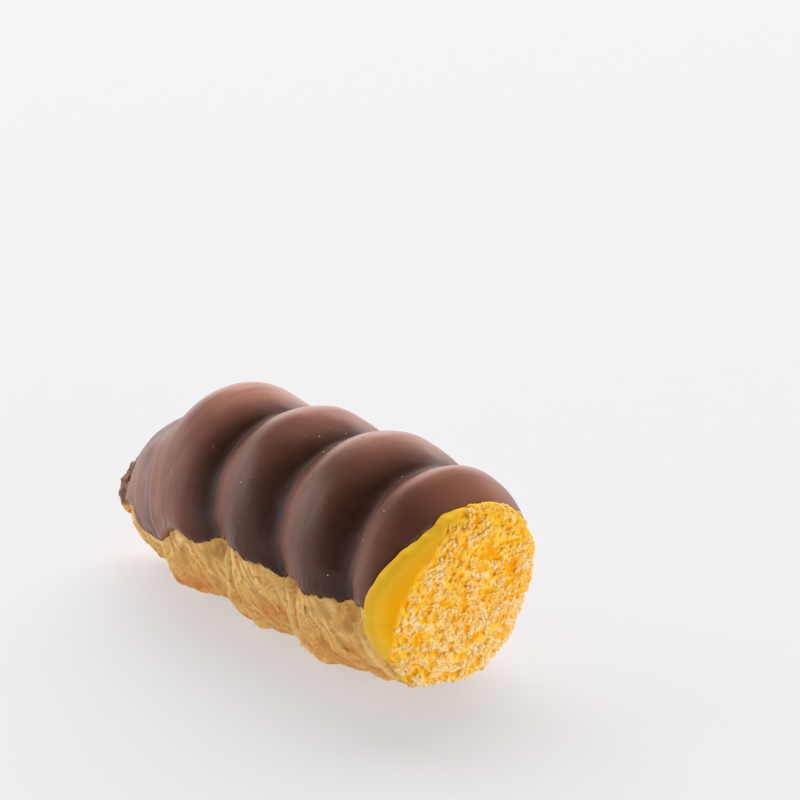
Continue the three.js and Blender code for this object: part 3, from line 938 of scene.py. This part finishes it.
class Recipe:
    """Node tree of a finish, with short forms for the nodes that finishes use."""

    def __init__(self, tree):
        self.tree = tree

    def node(self, kind, settings=None, inputs=None, output=0):
        """Adds a node of a kind, sets it, fills its sockets with values or wires, and gives one output."""
        made = self.tree.nodes.new(kind)
        for name, value in (settings or {}).items():
            if name == "stops":
                self.set_stops(made.color_ramp, value)
            else:
                setattr(made, name, value)
        for name, value in (inputs or {}).items():
            self.fill(made.inputs[name], value)
        return Wire(self, made.outputs[output])

    def fill(self, socket, value):
        """Links a wire to a socket, or sets the socket's own value."""
        if isinstance(value, Wire):
            self.tree.links.new(value.socket, socket)
        else:
            socket.default_value = value

    def set_stops(self, ramp, stops):
        """Gives a colour ramp its stops, each a position and a grey level."""
        while len(ramp.elements) < len(stops):
            ramp.elements.new(1.0)
        for element, (position, grey) in zip(ramp.elements, stops):
            element.position = position
            element.color = (grey, grey, grey, 1.0)
        ramp.interpolation = "EASE"

    def math(self, operation, first, second):
        """Math node on two values."""
        return self.node("ShaderNodeMath", {"operation": operation}, {0: first, 1: second})

    def blend(self, first, second, share):
        """Colour from first at share 0 to second at share 1."""
        inputs = {0: share, 6: colour_of(first), 7: colour_of(second)}
        return self.node("ShaderNodeMix", {"data_type": "RGBA", "clamp_factor": True}, inputs, output=2)

    def mark(self, name):
        """Value of a point attribute."""
        return self.node("ShaderNodeAttribute", {"attribute_name": name}, output=2)

    def noise(self, size, detail):
        """Noise in the horn's own coordinates with features of a size in metres."""
        place = self.node("ShaderNodeTexCoord", output=3)
        return self.node("ShaderNodeTexNoise", {}, {"Vector": place, "Scale": 1.0 / size, "Detail": detail})

    def ramp(self, value, *stops):
        """Grey level that goes from stop to stop, each a value and its level."""
        return self.node("ShaderNodeValToRGB", {"stops": stops}, {"Fac": value})

    def bump(self, height, distance, strength):
        """Normal of a surface whose height varies by a distance in metres."""
        return self.node("ShaderNodeBump", {}, {"Height": height, "Distance": distance, "Strength": strength})


def colour_of(value):
    """Colour with full alpha, or the wire as it is."""
    return value if isinstance(value, Wire) else (*value, 1.0)


def finish(name, constants, build=None):
    """Material whose Principled shader takes constants, and the wires that build gives for its sockets."""
    material = bpy.data.materials.new(name)
    material.use_nodes = True
    recipe = Recipe(material.node_tree)
    shader = material.node_tree.nodes["Principled BSDF"]
    varying = build(recipe) if build else {}
    for socket, value in {**constants, **varying}.items():
        recipe.fill(shader.inputs[socket], value)
    return material


def pastry_finish(look):
    """Baked strip: gold with pale flake edges, a painted highlight, darker thin windows, which also carry
    painted shade under covered flake edges, browned places and fine blisters. Its tail has smears of
    chocolate and dark pits, and the dish's middle is dark, both painted shade."""

    def build(recipe):
        grain = recipe.noise(1.1 * MM, detail=4.0)
        spots = recipe.ramp(recipe.noise(2.6 * MM, detail=3.0), (0.42, 0.0), (0.62, 1.0))
        fine = recipe.noise(0.45 * MM, detail=4.0)
        toast = recipe.mark("toast")
        window = recipe.mark("window")
        colour = recipe.blend(look.gold, look.pale, recipe.ramp(grain, (0.4, 0.0), (0.7, 0.45)))
        # The window mark adds painted shade under covered flake edges, the pale mark a painted highlight on
        # raised edges, and the pit mark painted shade in the tail's pits and the dish's middle
        colour = recipe.blend(colour, look.window, window * 0.85)
        colour = recipe.blend(colour, look.pale, recipe.mark("pale") * 0.8)
        colour = recipe.blend(colour, look.brown, toast * (0.55 + 0.45 * spots))
        colour = recipe.blend(colour, look.smear, recipe.mark("smear") * 0.95)
        colour = recipe.blend(colour, look.pit, recipe.mark("pit") * 0.9)
        blisters = fine * (0.35 + toast) + grain * 0.5
        return {
            "Base Color": colour,
            "Roughness": 0.56 - 0.2 * window + 0.12 * grain,
            "Normal": recipe.bump(blisters, distance=0.14 * MM, strength=0.6),
        }

    constants = {
        "Subsurface Weight": 0.12,
        "Subsurface Radius": (1.0, 0.5, 0.2),
        "Subsurface Scale": 1.2 * MM,
    }
    return finish("baked_strip", constants, build)


def chocolate_finish(look):
    """Satin chocolate: brown with a faint mottle, blended to light brown by painted light and shade."""

    def build(recipe):
        cloud = recipe.noise(9.0 * MM, detail=2.0)
        mottle = recipe.noise(2.2 * MM, detail=3.0)
        fine = recipe.noise(0.6 * MM, detail=3.0)
        # The mark called thin carries painted light and shade, not the coat's thickness
        share = 0.9 * recipe.mark("thin") + 0.08 * cloud + 0.1 * (mottle - 0.5)
        return {
            "Base Color": recipe.blend(look.brown, look.light_brown, share),
            "Normal": recipe.bump(fine, distance=0.02 * MM, strength=0.5),
        }

    return finish("satin_chocolate", {"Roughness": look.roughness, "Specular IOR Level": 0.4}, build)


def custard_finish(look):
    """Custard, smooth at its bare margin and covered by a grainy golden layer of crumb on its face."""

    def build(recipe):
        cover = recipe.mark("cover")
        bed = recipe.mark("bed")
        grain = recipe.noise(0.6 * MM, detail=4.0)
        soft = recipe.noise(5.0 * MM, detail=2.0)
        fine = recipe.noise(0.35 * MM, detail=4.0)
        height = recipe.ramp(bed, (0.05, 0.0), (0.55, 1.0))
        crust = recipe.ramp(bed + (grain - 0.5) * 0.6, (0.5, 0.0), (0.9, 1.0))
        crumb = recipe.blend(look.deep, look.bed, height)
        crumb = recipe.blend(crumb, look.tips, crust * (0.15 + 0.85 * recipe.mark("crust")))
        margin = recipe.blend(look.yellow, look.edge, recipe.mark("edge"))
        pores = (fine + grain) * cover + soft * 0.3
        return {
            "Base Color": recipe.blend(margin, crumb, cover),
            "Roughness": 0.36 + 0.4 * cover,
            "Normal": recipe.bump(pores, distance=0.16 * MM, strength=0.6),
        }

    constants = {
        "Subsurface Weight": 0.25,
        "Subsurface Radius": (1.0, 0.6, 0.15),
        "Subsurface Scale": 0.6 * MM,
        "Specular IOR Level": 0.1,
    }
    return finish("custard_and_crumb", constants, build)


def crumb_finish(name, tone):
    """Dry crumb of one tone with a little variation between and within crumbs."""
    dark_shares = (0.95, 0.82, 0.6)
    dark = tuple(part * share for part, share in zip(tone, dark_shares))

    def build(recipe):
        grain = recipe.ramp(recipe.noise(1.4 * MM, detail=3.0), (0.35, 0.4), (0.65, 1.0))
        return {"Base Color": recipe.blend(dark, tone, grain), "Roughness": 0.65 + 0.15 * grain}

    return finish(name, {"Specular IOR Level": 0.25}, build)


def floor_finish(look):
    """Plain pale floor that glows a little."""
    constants = {
        "Base Color": (*look.floor_colour, 1.0),
        "Roughness": 0.7,
        "Specular IOR Level": 0.1,
        "Emission Color": (1.0, 0.985, 0.99, 1.0),
        "Emission Strength": look.floor_glow,
    }
    return finish("pale_floor", constants)


# Pieces


class CREAMHORN_OT_pastry(bpy.types.Operator):
    """Wind the pastry strip with its flakes, its dished tail and its hollow"""

    bl_idname = "cream_horn.pastry"
    bl_label = "Pastry"

    ROWS = 290
    COLUMNS = 320
    BORE_ROWS = 8
    DISH_ROWS = 10
    SPIRAL_TURNS = 2.6
    SPIRAL_HEIGHT = 0.3 * MM
    DISH_DARKNESS = 0.7
    DISH_DARK_SHARES = (0.6, 0.0)
    COLUMN_SHARES = (0.0, 0.09, 0.43, 0.57, 0.91, 1.0)
    COLUMN_DEGREES = (-180.0, -152.0, -86.0, 86.0, 152.0, 180.0)

    def execute(self, context):
        horn = context.scene.cream_horn
        points, marks = self.surface(horn.form, horn.pastry)
        material = pastry_finish(horn.pastry)
        faces = closed_tube_faces(self.DISH_ROWS + self.ROWS + self.BORE_ROWS, self.COLUMNS)
        piece = add_piece("pastry", points, faces, material, marks)
        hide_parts("pastry_shell")
        return {"FINISHED"}

    def surface(self, form, look):
        """Rings round the axis: the tail's dish, the wound outside with its flakes, and the hollow from the
        rim inwards. The rings' points crowd on the bare flanks, in straight steps between named angles."""
        even = np.arange(self.COLUMNS) / self.COLUMNS
        angle = np.radians(np.interp(even, self.COLUMN_SHARES, self.COLUMN_DEGREES))
        station = np.linspace(0.0, form.shell_length, self.ROWS)[:, None]
        relief = pastry_relief(form, look, station, angle)
        radius = wound_radius(form, station, angle) + relief.height
        outside = surface_point(form, station, angle, radius)
        dish, dish_relief = self.dish(form, angle, radius[0], relief.smear[0])
        inner = np.linspace(form.shell_length, form.bore_start + BORE_NOSE, self.BORE_ROWS)[:, None]
        hollow = surface_point(form, inner, angle, bore_radius(form, inner, angle))
        rings = np.concatenate([dish, outside, hollow])
        poles = point_at(form, np.array([DISH_DEPTH, form.bore_start]), 0.0, 0.0)
        points = np.concatenate([poles[:1], rings.reshape(-1, 3), poles[1:]])
        marks = {}
        for name in Relief._fields[1:]:
            marks[name] = self.over_all(getattr(dish_relief, name), getattr(relief, name))
        return points, marks

    def dish(self, form, angle, rim, smear):
        """Rings of the tail's dish from its middle to the rim. Its depth falls as one less the square of the
        share of the way out, with a low spiral ridge as of a rolled strip, and its middle is darkened as
        painted shade."""
        share = (np.arange(self.DISH_ROWS)[:, None] + 0.5) / self.DISH_ROWS
        spiral = np.sin(TURN * self.SPIRAL_TURNS * share - angle)
        ridge = self.SPIRAL_HEIGHT * spiral * 4.0 * share * (1.0 - share)
        points = point_at(form, DISH_DEPTH * (1.0 - share**2) - ridge, angle, rim * share)
        # Paler on the spiral ridge as a painted highlight, and browner between its turns
        pale = 0.15 + 0.15 * spiral
        toast = 0.85 - 0.15 * spiral
        # Painted shade in the dish's middle
        pit = self.DISH_DARKNESS * eased(share, self.DISH_DARK_SHARES)
        return points, Relief(ridge, pale, 0.0, toast, smear * share**2, pit)

    def over_all(self, dish, outside):
        """Values of the dish and the outside, with the dish's first one on its pole and 0 in the hollow."""
        dish = np.broadcast_to(dish, (self.DISH_ROWS, self.COLUMNS)).ravel()
        outside = np.broadcast_to(outside, (self.ROWS, self.COLUMNS)).ravel()
        hollow = np.zeros(self.BORE_ROWS * self.COLUMNS + 1)
        return np.concatenate([dish[:1], dish, outside, hollow])


class CREAMHORN_OT_chocolate(bpy.types.Operator):
    """Coat the upper half with chocolate that ends in ragged, rounded edges"""

    bl_idname = "cream_horn.chocolate"
    bl_label = "Chocolate"

    ROWS = 400
    COLUMNS = 120
    EDGE_CROWDING = 0.55

    def execute(self, context):
        horn = context.scene.cream_horn
        points, marks = self.surface(horn.form, horn.pastry, horn.chocolate)
        material = chocolate_finish(horn.chocolate)
        faces = pillow_faces(self.ROWS, self.COLUMNS)
        piece = add_piece("chocolate", points, faces, material, marks)
        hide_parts("chocolate_coat")
        return {"FINISHED"}

    def surface(self, form, pastry, look):
        """Outer and inner sheet over the pastry between the two lower edges. The outer one rises from the
        inner one to the coat's radius by a quarter circle of the distance to each edge, with a low bead
        beside it."""
        across = np.linspace(-1.0, 1.0, self.COLUMNS)
        crowded = mix(across, np.sin(across * np.pi / 2.0), self.EDGE_CROWDING)
        share = np.linspace(0.0, 1.0, self.ROWS)[:, None]
        level = mix(look.start, form.shell_length, share)
        near = edge_angle(level, 1.0)
        far = edge_angle(level, -1.0)
        angle = mix(-far, near, (crowded + 1.0) / 2.0)
        draw_back = COAT_TAIL_RAG_HEIGHT * ringed(COAT_TAIL_RAGS, angle) + bell_round(angle, TAIL_DRAW_BACK)
        station = level + draw_back * (1.0 - share) ** COAT_TAIL_POWER
        to_sides = np.minimum(near - angle, angle + far) * form.mouth_side_radius
        to_ends = np.minimum(station - station[:1], form.shell_length - station)
        round_off = self.rounded(to_sides / look.edge_rounding) * self.rounded(to_ends / look.edge_rounding)
        base = pastry_radius(form, pastry, station, angle) + look.lift
        top = coat_radius(form, look, station, angle) + bell(to_sides, COAT_BEAD)
        top = np.maximum(top, base + COAT_LEAST)
        outer = surface_point(form, station, angle, mix(base, top, round_off))
        inner = surface_point(form, station, angle, base)[1:-1, 1:-1]
        # Painted light and shade for the coat's colour, stored in the mark called thin
        thin = painted_coat_light(form, station, angle)
        marks = {"thin": np.concatenate([thin.ravel(), thin[1:-1, 1:-1].ravel()])}
        return np.concatenate([outer.reshape(-1, 3), inner.reshape(-1, 3)]), marks

    def rounded(self, share):
        """Quarter circle from 0 at share 0 to 1 at share 1 and beyond."""
        return np.sqrt(1.0 - (1.0 - clipped(share)) ** 2)


class CREAMHORN_OT_custard(bpy.types.Operator):
    """Fill the hollow with custard and dome it over the rim, with a lumpy layer of crumb on its face"""

    bl_idname = "cream_horn.custard"
    bl_label = "Custard"

    PLUG_ROWS = 9
    FACE_ROWS = 170
    COLUMNS = 520
    EDGE_SHARES = (0.86, 0.99)

    def execute(self, context):
        horn = context.scene.cream_horn
        points, marks = self.surface(horn.form, horn.custard)
        faces = closed_tube_faces(self.PLUG_ROWS + 1 + self.FACE_ROWS, self.COLUMNS)
        piece = add_piece("custard", points, faces, custard_finish(horn.custard), marks)
        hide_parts("custard_filling")
        return {"FINISHED"}

    def surface(self, form, look):
        """Rings of the plug in the hollow, its neck at the rim, and the domed face from the rim to its
        middle. The covered part of the face is raised along its outward direction by the crumb layer."""
        angle = TURN * np.arange(self.COLUMNS) / self.COLUMNS
        station = np.linspace(form.bore_start + BORE_NOSE, form.shell_length, self.PLUG_ROWS)[:, None]
        plug_radius = bore_radius(form, station, angle) - look.gap
        plug = surface_point(form, station, angle, plug_radius)
        neck_along = leaning_station(form, form.shell_length, angle) + look.gap
        neck = point_at(form, neck_along, angle, plug_radius[-1])
        share = (np.arange(self.FACE_ROWS) / self.FACE_ROWS)[:, None]
        outward = np.cos(share * np.pi / 2.0) ** (2.0 / FACE_POWER)
        cover = face_cover(angle, outward)
        face = face_point(form, look, share, angle)
        bed = crumb_bed(face)
        raised = (BED_HEIGHT * bed - BED_SINK) * cover
        face = face + face_outward(form, face) * raised[..., None]
        front = face[-1].mean(axis=0)[None]
        back = point_at(form, form.bore_start + look.gap, 0.0, 0.0)[None]
        points = np.concatenate([back, plug.reshape(-1, 3), neck, face.reshape(-1, 3), front])
        edge = np.broadcast_to(eased(outward, self.EDGE_SHARES), bed.shape)
        crusted = clouded(CRUST_PATCHES, face) - CRUST_DOWNWARD * np.cos(angle) * outward
        crust = eased(crusted, CRUST_LIMITS)
        values = {"cover": (cover, 1.0), "bed": (bed, 0.6), "edge": (edge, 0.0), "crust": (crust, 0.5)}
        return points, {name: self.over_all(*pair) for name, pair in values.items()}

    def over_all(self, values, middle):
        """Values of the face, with 0 on the plug and a value of its own in the middle of the face."""
        before = np.zeros(1 + (self.PLUG_ROWS + 1) * self.COLUMNS)
        return np.concatenate([before, values.ravel(), [middle]])


# One tone of crumb: its name, its seed, and how much more of it lies above the middle of the face
Tone = namedtuple("Tone", "name seed upward")


class CREAMHORN_OT_crumbs(bpy.types.Operator):
    """Press crumbs of three tones into the face of the filling"""

    bl_idname = "cream_horn.crumbs"
    bl_label = "Crumbs"

    TONES = (Tone("pale", 5, -0.35), Tone("golden", 6, 0.2), Tone("amber", 7, 0.0))
    RINGS = 3
    COLUMNS = 6
    CANDIDATES = 4
    CLUMPS = Cloud(3.2 * MM, 2, 211)
    CLUMP_CHANCE = 0.8
    LINE_CHANCE = 0.03
    LOWEST_LEVEL = 0.5
    KEPT_FIRST = 10.0
    COVER_CHANCES = (0.1, 0.9)
    SIZE_POWER = 2.5
    SINK = 0.05
    STRETCH = (0.6, 1.45)
    UNEVENNESS = (0.7, 1.2)

    def execute(self, context):
        horn = context.scene.cream_horn
        for tone in self.TONES:
            points, faces = self.spread(horn, tone, getattr(horn.crumbs, f"{tone.name}_count"))
            material = crumb_finish(f"{tone.name}_crumb", getattr(horn.crumbs, tone.name))
            add_piece(f"{tone.name}_crumbs", points, faces, material)
        return {"FINISHED"}

    def spread(self, horn, tone, count):
        """Crumbs of one tone. Places are drawn evenly over the face, and those with the highest clumping
        noise outside the crumb layer's holes are kept, so that a tone gathers in patches, more of them above
        or below the middle. Each is an uneven ball, drawn out and turned at random."""
        form = horn.form
        look = horn.crumbs
        draw = np.random.default_rng(tone.seed)
        tries = count * self.CANDIDATES
        angle = draw.uniform(-np.pi, np.pi, tries)
        outward = np.sqrt(draw.uniform(0.0, 1.0, tries))
        nudged = outward - self.LINE_CHANCE * draw.uniform(-1.0, 1.0, tries)
        keep = face_cover(angle, nudged) > draw.uniform(*self.COVER_CHANCES, tries)
        share = np.arccos(clipped(outward) ** (FACE_POWER / 2.0)) * 2.0 / np.pi
        places = face_point(form, horn.custard, share, angle)
        clump = clouded(self.CLUMPS._replace(seed=self.CLUMPS.seed + tone.seed), places)
        clump = clump + tone.upward * np.cos(angle) * outward
        level = crumb_bed(places)
        keep = keep & (level > self.LOWEST_LEVEL)
        wanted = clump + self.CLUMP_CHANCE * draw.uniform(0.0, 1.0, tries) + self.KEPT_FIRST * keep
        order = np.argsort(-wanted)[:count]
        places = places[order]
        size = mix(look.smallest, look.largest, draw.uniform(0.0, 1.0, count) ** self.SIZE_POWER)
        rise = BED_HEIGHT * level[order] - BED_SINK - self.SINK * size
        centres = places + face_outward(form, places) * rise[:, None]
        shape, faces = ball(self.RINGS, self.COLUMNS)
        scales = size[:, None] * draw.uniform(*self.STRETCH, (count, 3))
        uneven = draw.uniform(*self.UNEVENNESS, (count, len(shape), 1))
        return copies(shape, faces, centres, scales, random_turns(draw, count), uneven)


def strip_frames(form, station, angle):
    """Turning matrices for places on the wound strip. Their columns point round the horn, along it and out of
    it, from small steps over the surface."""

    def place(along, turned):
        return surface_point(form, along, turned, wound_radius(form, along, turned))

    step = 0.4 * MM
    middle = place(station, angle)
    round_way = place(station, angle + step / form.mouth_side_radius) - middle
    along_way = place(station + step, angle) - middle
    out = unit(np.cross(round_way, along_way))
    round_way = unit(round_way)
    return np.stack([round_way, np.cross(out, round_way), out], axis=-1)


class CREAMHORN_OT_flakes(bpy.types.Operator):
    """Lay thin loose flakes on the raised edges of the bare strip"""

    bl_idname = "cream_horn.flakes"
    bl_label = "Flakes"

    SEED = 8
    RINGS = 3
    COLUMNS = 6
    CANDIDATES = 8
    PLACE_CHANCE = 0.6
    END_MARGINS = (10.0 * MM, 5.0 * MM)
    DEGREES = (102.0, 150.0)
    MILLIMETRES = (0.5, 1.3)
    FLATNESS = (1.0, 0.5, 0.05)
    TIP_SHARE = 0.18
    UNEVENNESS = (0.75, 1.2)

    def execute(self, context):
        horn = context.scene.cream_horn
        points, faces = self.spread(horn.form, horn.pastry)
        material = crumb_finish("loose_flake", horn.pastry.pale)
        add_piece("pastry_flakes", points, faces, material)
        return {"FINISHED"}

    def spread(self, form, look):
        """Flattened uneven balls, turned to lie along the strip and tipped a little. Of many places drawn on
        the bare part, those with the palest flake edges are kept."""
        draw = np.random.default_rng(self.SEED)
        tries = look.flakes * self.CANDIDATES
        at_tail, at_mouth = self.END_MARGINS
        station = draw.uniform(at_tail, form.shell_length - at_mouth, tries)
        angle = np.radians(draw.uniform(*self.DEGREES, tries)) * draw.choice([-1.0, 1.0], tries)
        paleness = pastry_relief(form, look, station, angle).pale
        wanted = paleness + self.PLACE_CHANCE * draw.uniform(0.0, 1.0, tries)
        best = np.argsort(-wanted)[: look.flakes]
        station = station[best]
        angle = angle[best]
        centres = surface_point(form, station, angle, pastry_radius(form, look, station, angle))
        size = draw.uniform(*self.MILLIMETRES, look.flakes) * MM
        scales = size[:, None] * np.array(self.FLATNESS)
        tipped = mix(np.eye(3), random_turns(draw, look.flakes), self.TIP_SHARE)
        left, _, right = np.linalg.svd(tipped)
        turns = strip_frames(form, station, angle) @ (left @ right)
        shape, faces = ball(self.RINGS, self.COLUMNS)
        uneven = draw.uniform(*self.UNEVENNESS, (look.flakes, len(shape), 1))
        return copies(shape, faces, centres, scales, turns, uneven)


class CREAMHORN_OT_specks(bpy.types.Operator):
    """Dust the coat with a few tiny pale crumbs"""

    bl_idname = "cream_horn.specks"
    bl_label = "Specks"

    SEED = 9
    RINGS = 2
    COLUMNS = 5
    SMALLEST = 0.07 * MM
    LARGEST = 0.2 * MM
    END_MARGINS = (14.0 * MM, 8.0 * MM)
    DEGREES = (-80.0, 80.0)
    STRETCH = (0.7, 1.3)
    UNEVENNESS = (0.8, 1.2)

    def execute(self, context):
        horn = context.scene.cream_horn
        points, faces = self.spread(horn.form, horn.chocolate)
        material = crumb_finish("pale_speck", horn.chocolate.speck)
        add_piece("chocolate_specks", points, faces, material, flat=True)
        return {"FINISHED"}

    def spread(self, form, look):
        """Uneven balls at places drawn over the upper half, half sunk into the coat."""
        draw = np.random.default_rng(self.SEED)
        count = look.specks
        at_tail, at_mouth = self.END_MARGINS
        station = draw.uniform(at_tail, form.shell_length - at_mouth, count)
        angle = np.radians(draw.uniform(*self.DEGREES, count))
        centres = surface_point(form, station, angle, coat_radius(form, look, station, angle))
        size = mix(self.SMALLEST, self.LARGEST, draw.uniform(0.0, 1.0, count) ** 2)
        shape, faces = ball(self.RINGS, self.COLUMNS)
        scales = size[:, None] * draw.uniform(*self.STRETCH, (count, 3))
        uneven = draw.uniform(*self.UNEVENNESS, (count, len(shape), 1))
        return copies(shape, faces, centres, scales, random_turns(draw, count), uneven)


class CREAMHORN_OT_stage(bpy.types.Operator):
    """Set up the camera, the floor and the light"""

    bl_idname = "cream_horn.stage"
    bl_label = "Stage"

    FLOOR_REACH = 6.0
    SENSOR_WIDTH = 36.0
    CLIP_START = 0.01
    KEY_HEIGHT = math.radians(35)
    KEY_TURN = math.radians(82)
    FILL_HEIGHT = math.radians(18)
    FILL_TURN = math.radians(145)
    FAR_STOPS = ((0.3, 0.0), (0.75, 1.0))
    TAIL_STOPS = ((0.0, 0.0), (0.8, 1.0))
    MOUTH_STOPS = ((0.82, 0.0), (0.99, 1.0))
    TOP_STOPS = ((0.2, 0.0), (0.85, 1.0))

    def execute(self, context):
        scene = context.scene
        look = scene.cream_horn.stage
        scene.view_settings.view_transform = "Standard"
        scene.view_settings.look = "Medium High Contrast"
        self.set_camera(scene, look)
        self.add_floor(scene, look)
        self.add_surroundings(scene, look)
        key_turn = look.azimuth + self.KEY_TURN
        self.add_lamp(scene, "key", look.key_strength, look.key_spread, key_turn, self.KEY_HEIGHT)
        fill_turn = look.azimuth + self.FILL_TURN
        self.add_lamp(scene, "fill", look.fill_strength, look.key_spread, fill_turn, self.FILL_HEIGHT)
        return {"FINISHED"}

    def set_camera(self, scene, look):
        """Camera at a distance from the aim, turned level so that the aim falls on its column and row."""
        turn, rise = look.azimuth, look.elevation
        back = Vector((math.sin(turn) * math.cos(rise), -math.cos(turn) * math.cos(rise), math.sin(rise)))
        right = Vector((math.cos(turn), math.sin(turn), 0.0))
        up = back.cross(right)
        aim = Vector(look.aim)
        middle = look.frame_pixels / 2.0
        scale = look.distance / look.focal_pixels
        target = aim + right * (middle - look.aim_column) * scale + up * (look.aim_row - middle) * scale
        camera = bpy.data.objects.new("camera", bpy.data.cameras.new("camera"))
        camera.location = aim + back * look.distance
        camera.rotation_euler = (target - camera.location).to_track_quat("-Z", "Y").to_euler()
        camera.data.sensor_width = self.SENSOR_WIDTH
        camera.data.lens = self.SENSOR_WIDTH * look.focal_pixels / look.frame_pixels
        camera.data.clip_start = self.CLIP_START
        scene.collection.objects.link(camera)
        scene.camera = camera

    def add_floor(self, scene, look):
        """Square floor just below the horn."""
        reach = self.FLOOR_REACH
        corners = [(-reach, -reach), (reach, -reach), (reach, reach), (-reach, reach)]
        mesh = bpy.data.meshes.new("floor")
        mesh.from_pydata([(x, y, -FLOOR_GAP) for x, y in corners], [], [(0, 1, 2, 3)])
        mesh.materials.append(floor_finish(look))
        floor = bpy.data.objects.new("floor", mesh)
        scene.collection.objects.link(floor)

    def add_surroundings(self, scene, look):
        """Surroundings that are dark low on the near side, brighter low on the far side and at both ends, and
        even above."""
        world = bpy.data.worlds.new("studio")
        world.use_nodes = True
        scene.world = world
        recipe = Recipe(world.node_tree)
        place = recipe.node("ShaderNodeTexCoord")
        end, depth, height = (
            recipe.node("ShaderNodeSeparateXYZ", {}, {0: place}, output=axis) for axis in range(3)
        )
        far_share = recipe.ramp(0.5 + 0.5 * depth, *self.FAR_STOPS)
        low = look.near_strength + (look.far_strength - look.near_strength) * far_share
        low = low + look.tail_strength * recipe.ramp(-1.0 * end, *self.TAIL_STOPS)
        low = low + look.mouth_strength * recipe.ramp(end, *self.MOUTH_STOPS)
        strength = low + (look.top_strength - low) * recipe.ramp(height, *self.TOP_STOPS)
        background = world.node_tree.nodes["Background"]
        background.inputs["Color"].default_value = (*look.sky_colour, 1.0)
        recipe.fill(background.inputs["Strength"], strength)

    def add_lamp(self, scene, name, strength, spread, turn, height):
        """Wide soft light from a direction, a turn from the X axis and a height over the horizon. It doesn't
        show in reflections, which are left to the surroundings."""
        lamp = bpy.data.lights.new(name, "SUN")
        lamp.energy = strength
        lamp.angle = spread
        light = bpy.data.objects.new(name, lamp)
        level = math.cos(height)
        towards = Vector((math.cos(turn) * level, math.sin(turn) * level, math.sin(height)))
        light.rotation_euler = towards.to_track_quat("Z", "Y").to_euler()
        light.visible_glossy = False
        scene.collection.objects.link(light)


class CREAMHORN_PT_sidebar(bpy.types.Panel):
    """List of the horn's pieces and settings"""

    bl_idname = "CREAMHORN_PT_sidebar"
    bl_label = "Cream Horn"
    bl_space_type = "VIEW_3D"
    bl_region_type = "UI"
    bl_category = "Cream Horn"

    def draw(self, context):
        horn = context.scene.cream_horn
        for operator in OPERATORS:
            self.layout.operator(operator.bl_idname)
        for group in (horn.form, horn.pastry, horn.chocolate, horn.custard, horn.crumbs, horn.stage):
            box = self.layout.box()
            for name in group.bl_rna.properties.keys():
                if name not in ("rna_type", "name"):
                    box.prop(group, name)


GROUPS = (HornForm, PastryLook, ChocolateLook, CustardLook, CrumbLook, StageLook, CreamHornSettings)
OPERATORS = (
    CREAMHORN_OT_stage,
    CREAMHORN_OT_pastry,
    CREAMHORN_OT_chocolate,
    CREAMHORN_OT_custard,
    CREAMHORN_OT_crumbs,
    CREAMHORN_OT_flakes,
    CREAMHORN_OT_specks,
)
CLASSES = (*GROUPS, *OPERATORS, CREAMHORN_PT_sidebar)


def register():
    for kind in CLASSES:
        bpy.utils.register_class(kind)
    bpy.types.Scene.cream_horn = bpy.props.PointerProperty(type=CreamHornSettings)


def unregister():
    del bpy.types.Scene.cream_horn
    for kind in reversed(CLASSES):
        bpy.utils.unregister_class(kind)


def main():
    """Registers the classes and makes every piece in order."""
    register()
    for operator in OPERATORS:
        getattr(bpy.ops.cream_horn, operator.bl_idname.split(".")[1])()


if __name__ == "__main__":
    main()
